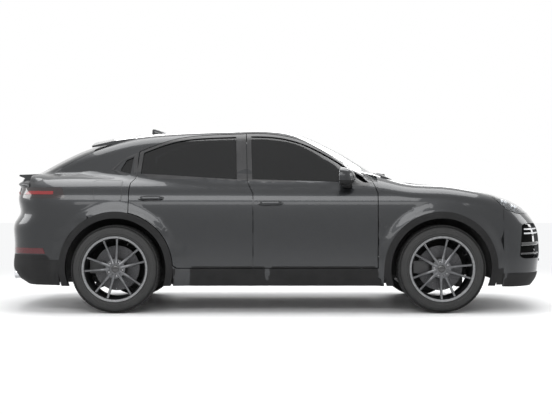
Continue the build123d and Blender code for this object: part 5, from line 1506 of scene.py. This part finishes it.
for number, y in enumerate((-0.56, -0.16, 0.16, 0.60)):
    slab(f"air_vent_frame_{number}", (0.014, 0.130, 0.042), (0.634, y, 0.985), 0.006, black_gloss, "body",
         "gloss_trim")
    for blade in range(4):
        slab(f"air_vent_blade_{number}_{blade}", (0.010, 0.118, 0.0025), (0.625, y, 0.972 + 0.0088 * blade),
             0.0008, lamp_silver, "body", "gloss_trim", pitch(18))
for number, y in enumerate((-0.045, 0.045)):
    cup = lathe([(0.038, 0.0), (0.041, 0.004), (0.043, 0.0), (0.043, -0.006), (0.038, -0.006)],
                (0.400, y, 0.650), 40, axis=2, closed=True)
    outward_loft(cup, f"cup_ring_{number}", bright_metal, "body", "gloss_trim")
for side, turn in (("left", 1), ("right", -1)):
    for row, (x0, x1, y0, y1) in enumerate(((0.32, 0.86, 0.16, 0.62), (-0.50, -0.10, 0.16, 0.66))):
        slab(f"{side}_floor_mat_{row}", (x1 - x0, y1 - y0, 0.008),
             ((x0 + x1) / 2, turn * (y0 + y1) / 2, 0.2805), 0.003, carpet, "body", "leather")
for side, turn in (("left", 1), ("right", -1)):
    for door, x0, x1, z in (("front_door", 0.020, 0.500, 0.760), ("rear_door", -0.870, -0.440, 0.770)):
        inner, _ = from_side(np.array([((x0 + x1) / 2, z)]), -0.058)
        y = inner[0][1]
        name = f"{side}_{door}"
        for label, size, along, inwards, up, edge, look, slot in (("armrest", (x1 - x0, 0.060, 0.070),
                                                                   (x0 + x1) / 2, 0.024, 0.0, 0.022,
                                                                   leather, "leather"),
                                                                  ("pull", (0.120, 0.016, 0.022), x1 - 0.10,
                                                                   0.030, 0.125, 0.007, bright_metal,
                                                                   "gloss_trim"),
                                                                  ("pull_cup", (0.170, 0.006, 0.060),
                                                                   x1 - 0.10, 0.006, 0.125, 0.003,
                                                                   black_gloss, "gloss_trim"),
                                                                  ("switches", (0.120, 0.045, 0.010),
                                                                   x1 - 0.13, 0.026, 0.036, 0.004,
                                                                   black_gloss, "gloss_trim"),
                                                                  ("pocket", (0.300, 0.040, 0.090),
                                                                   x0 + 0.20, 0.018, -0.245, 0.018,
                                                                   door_card, "trim")):
            slab(f"{name}_{label}", size, (along, turn * (y - inwards), z + up), edge, look, name, slot)
        speaker = lathe([(0.0002, 0.004), (0.070, 0.003), (0.078, 0.006), (0.082, 0.002), (0.082, -0.006),
                         (0.0002, -0.006)], (x1 - 0.06, turn * (y - 0.004), z - 0.235), 48, axis=1)
        outward_loft(speaker, f"{name}_speaker", window_trim, name, "gloss_trim")


# ---------------------------------------------------------------- camera, floor and light
def studio():
    scene.view_settings.view_transform = "Standard"
    camera = bpy.data.cameras.new("camera")
    camera.lens, camera.sensor_width = 69.6, 36.0
    camera.shift_y = -0.0208
    view = bpy.data.objects.new("camera", camera)
    view.location = (-0.01, -10.4, 1.04)
    view.rotation_euler = (math.pi / 2, 0, 0)
    scene.collection.objects.link(view)
    scene.camera = view
    world = bpy.data.worlds.new("studio")
    scene.world = world
    world.use_nodes = True
    tree_nodes, links = world.node_tree.nodes, world.node_tree.links
    tree_nodes.clear()
    path = tree_nodes.new("ShaderNodeLightPath")
    soft, white = (tree_nodes.new("ShaderNodeBackground") for _ in range(2))
    seen, seen_through = (tree_nodes.new("ShaderNodeMath") for _ in range(2))
    seen.operation = seen_through.operation = "MAXIMUM"
    mix = tree_nodes.new("ShaderNodeMixShader")
    out = tree_nodes.new("ShaderNodeOutputWorld")
    soft.inputs["Color"].default_value = (0.96, 0.98, 1.0, 1)
    soft.inputs["Strength"].default_value = 0.42
    white.inputs["Color"].default_value = (1, 1, 1, 1)
    white.inputs["Strength"].default_value = 1.0
    links.new(path.outputs["Is Camera Ray"], seen.inputs[0])
    links.new(path.outputs["Is Transmission Ray"], seen.inputs[1])
    links.new(seen.outputs[0], seen_through.inputs[0])
    links.new(path.outputs["Is Glossy Ray"], seen_through.inputs[1])
    links.new(seen_through.outputs[0], mix.inputs["Fac"])
    links.new(soft.outputs[0], mix.inputs[1])
    links.new(white.outputs[0], mix.inputs[2])
    links.new(mix.outputs[0], out.inputs["Surface"])
    floor_look = Look("studio_floor", (0.93, 0.93, 0.93), 0.55)
    floor_look.tint(floor_look.noise(1.5, 3.0), (0.925, 0.925, 0.925), (0.94, 0.94, 0.94))
    tree_nodes, links = floor_look.nodes, floor_look.links
    away = tree_nodes.new("ShaderNodeVectorMath")
    fade = tree_nodes.new("ShaderNodeMapRange")
    far = tree_nodes.new("ShaderNodeEmission")
    blend = tree_nodes.new("ShaderNodeMixShader")
    away.operation, fade.interpolation_type = "LENGTH", "SMOOTHSTEP"
    fade.inputs["From Min"].default_value, fade.inputs["From Max"].default_value = 2.6, 7.0
    far.inputs["Color"].default_value = (0.93, 0.935, 0.94, 1)
    links.new(floor_look.place, away.inputs[0])
    links.new(away.outputs["Value"], fade.inputs["Value"])
    links.new(fade.outputs["Result"], blend.inputs["Fac"])
    links.new(floor_look.surface.outputs[0], blend.inputs[1])
    links.new(far.outputs[0], blend.inputs[2])
    links.new(blend.outputs[0], tree_nodes["Material Output"].inputs["Surface"])
    bpy.ops.mesh.primitive_plane_add(size=60, location=(0, 0, -0.001))
    floor = bpy.context.object
    floor.name = "studio_floor"
    floor.data.materials.append(floor_look.material)

    def area(name, place, aim, size, power, tint=(1, 1, 1)):
        light = bpy.data.lights.new(name, "AREA")
        light.shape, light.size, light.size_y = "RECTANGLE", size[0], size[1]
        light.energy, light.color = power, tint
        obj = bpy.data.objects.new(name, light)
        obj.location = place
        obj.rotation_euler = (Vector(aim) - Vector(place)).to_track_quat("-Z", "Y").to_euler()
        scene.collection.objects.link(obj)

    area("top_light", (0.0, 0.0, 5.2), (0, 0, 0), (7.5, 3.2), 330)
    area("near_light", (-1.5, -7.0, 4.6), (0, 0, 0.7), (7.0, 2.2), 210)
    area("shoulder_light", (0.0, -9.0, 3.0), (0, 0, 0.9), (9.5, 0.9), 70)
    area("far_light", (0.5, 7.0, 4.2), (0, 0, 0.7), (7.0, 2.2), 170)
    area("nose_light", (7.5, -0.5, 2.6), (0, 0, 0.7), (3.5, 2.0), 110)
    area("tail_light", (-7.5, -0.5, 2.8), (0, 0, 0.7), (3.5, 2.0), 110)


studio()
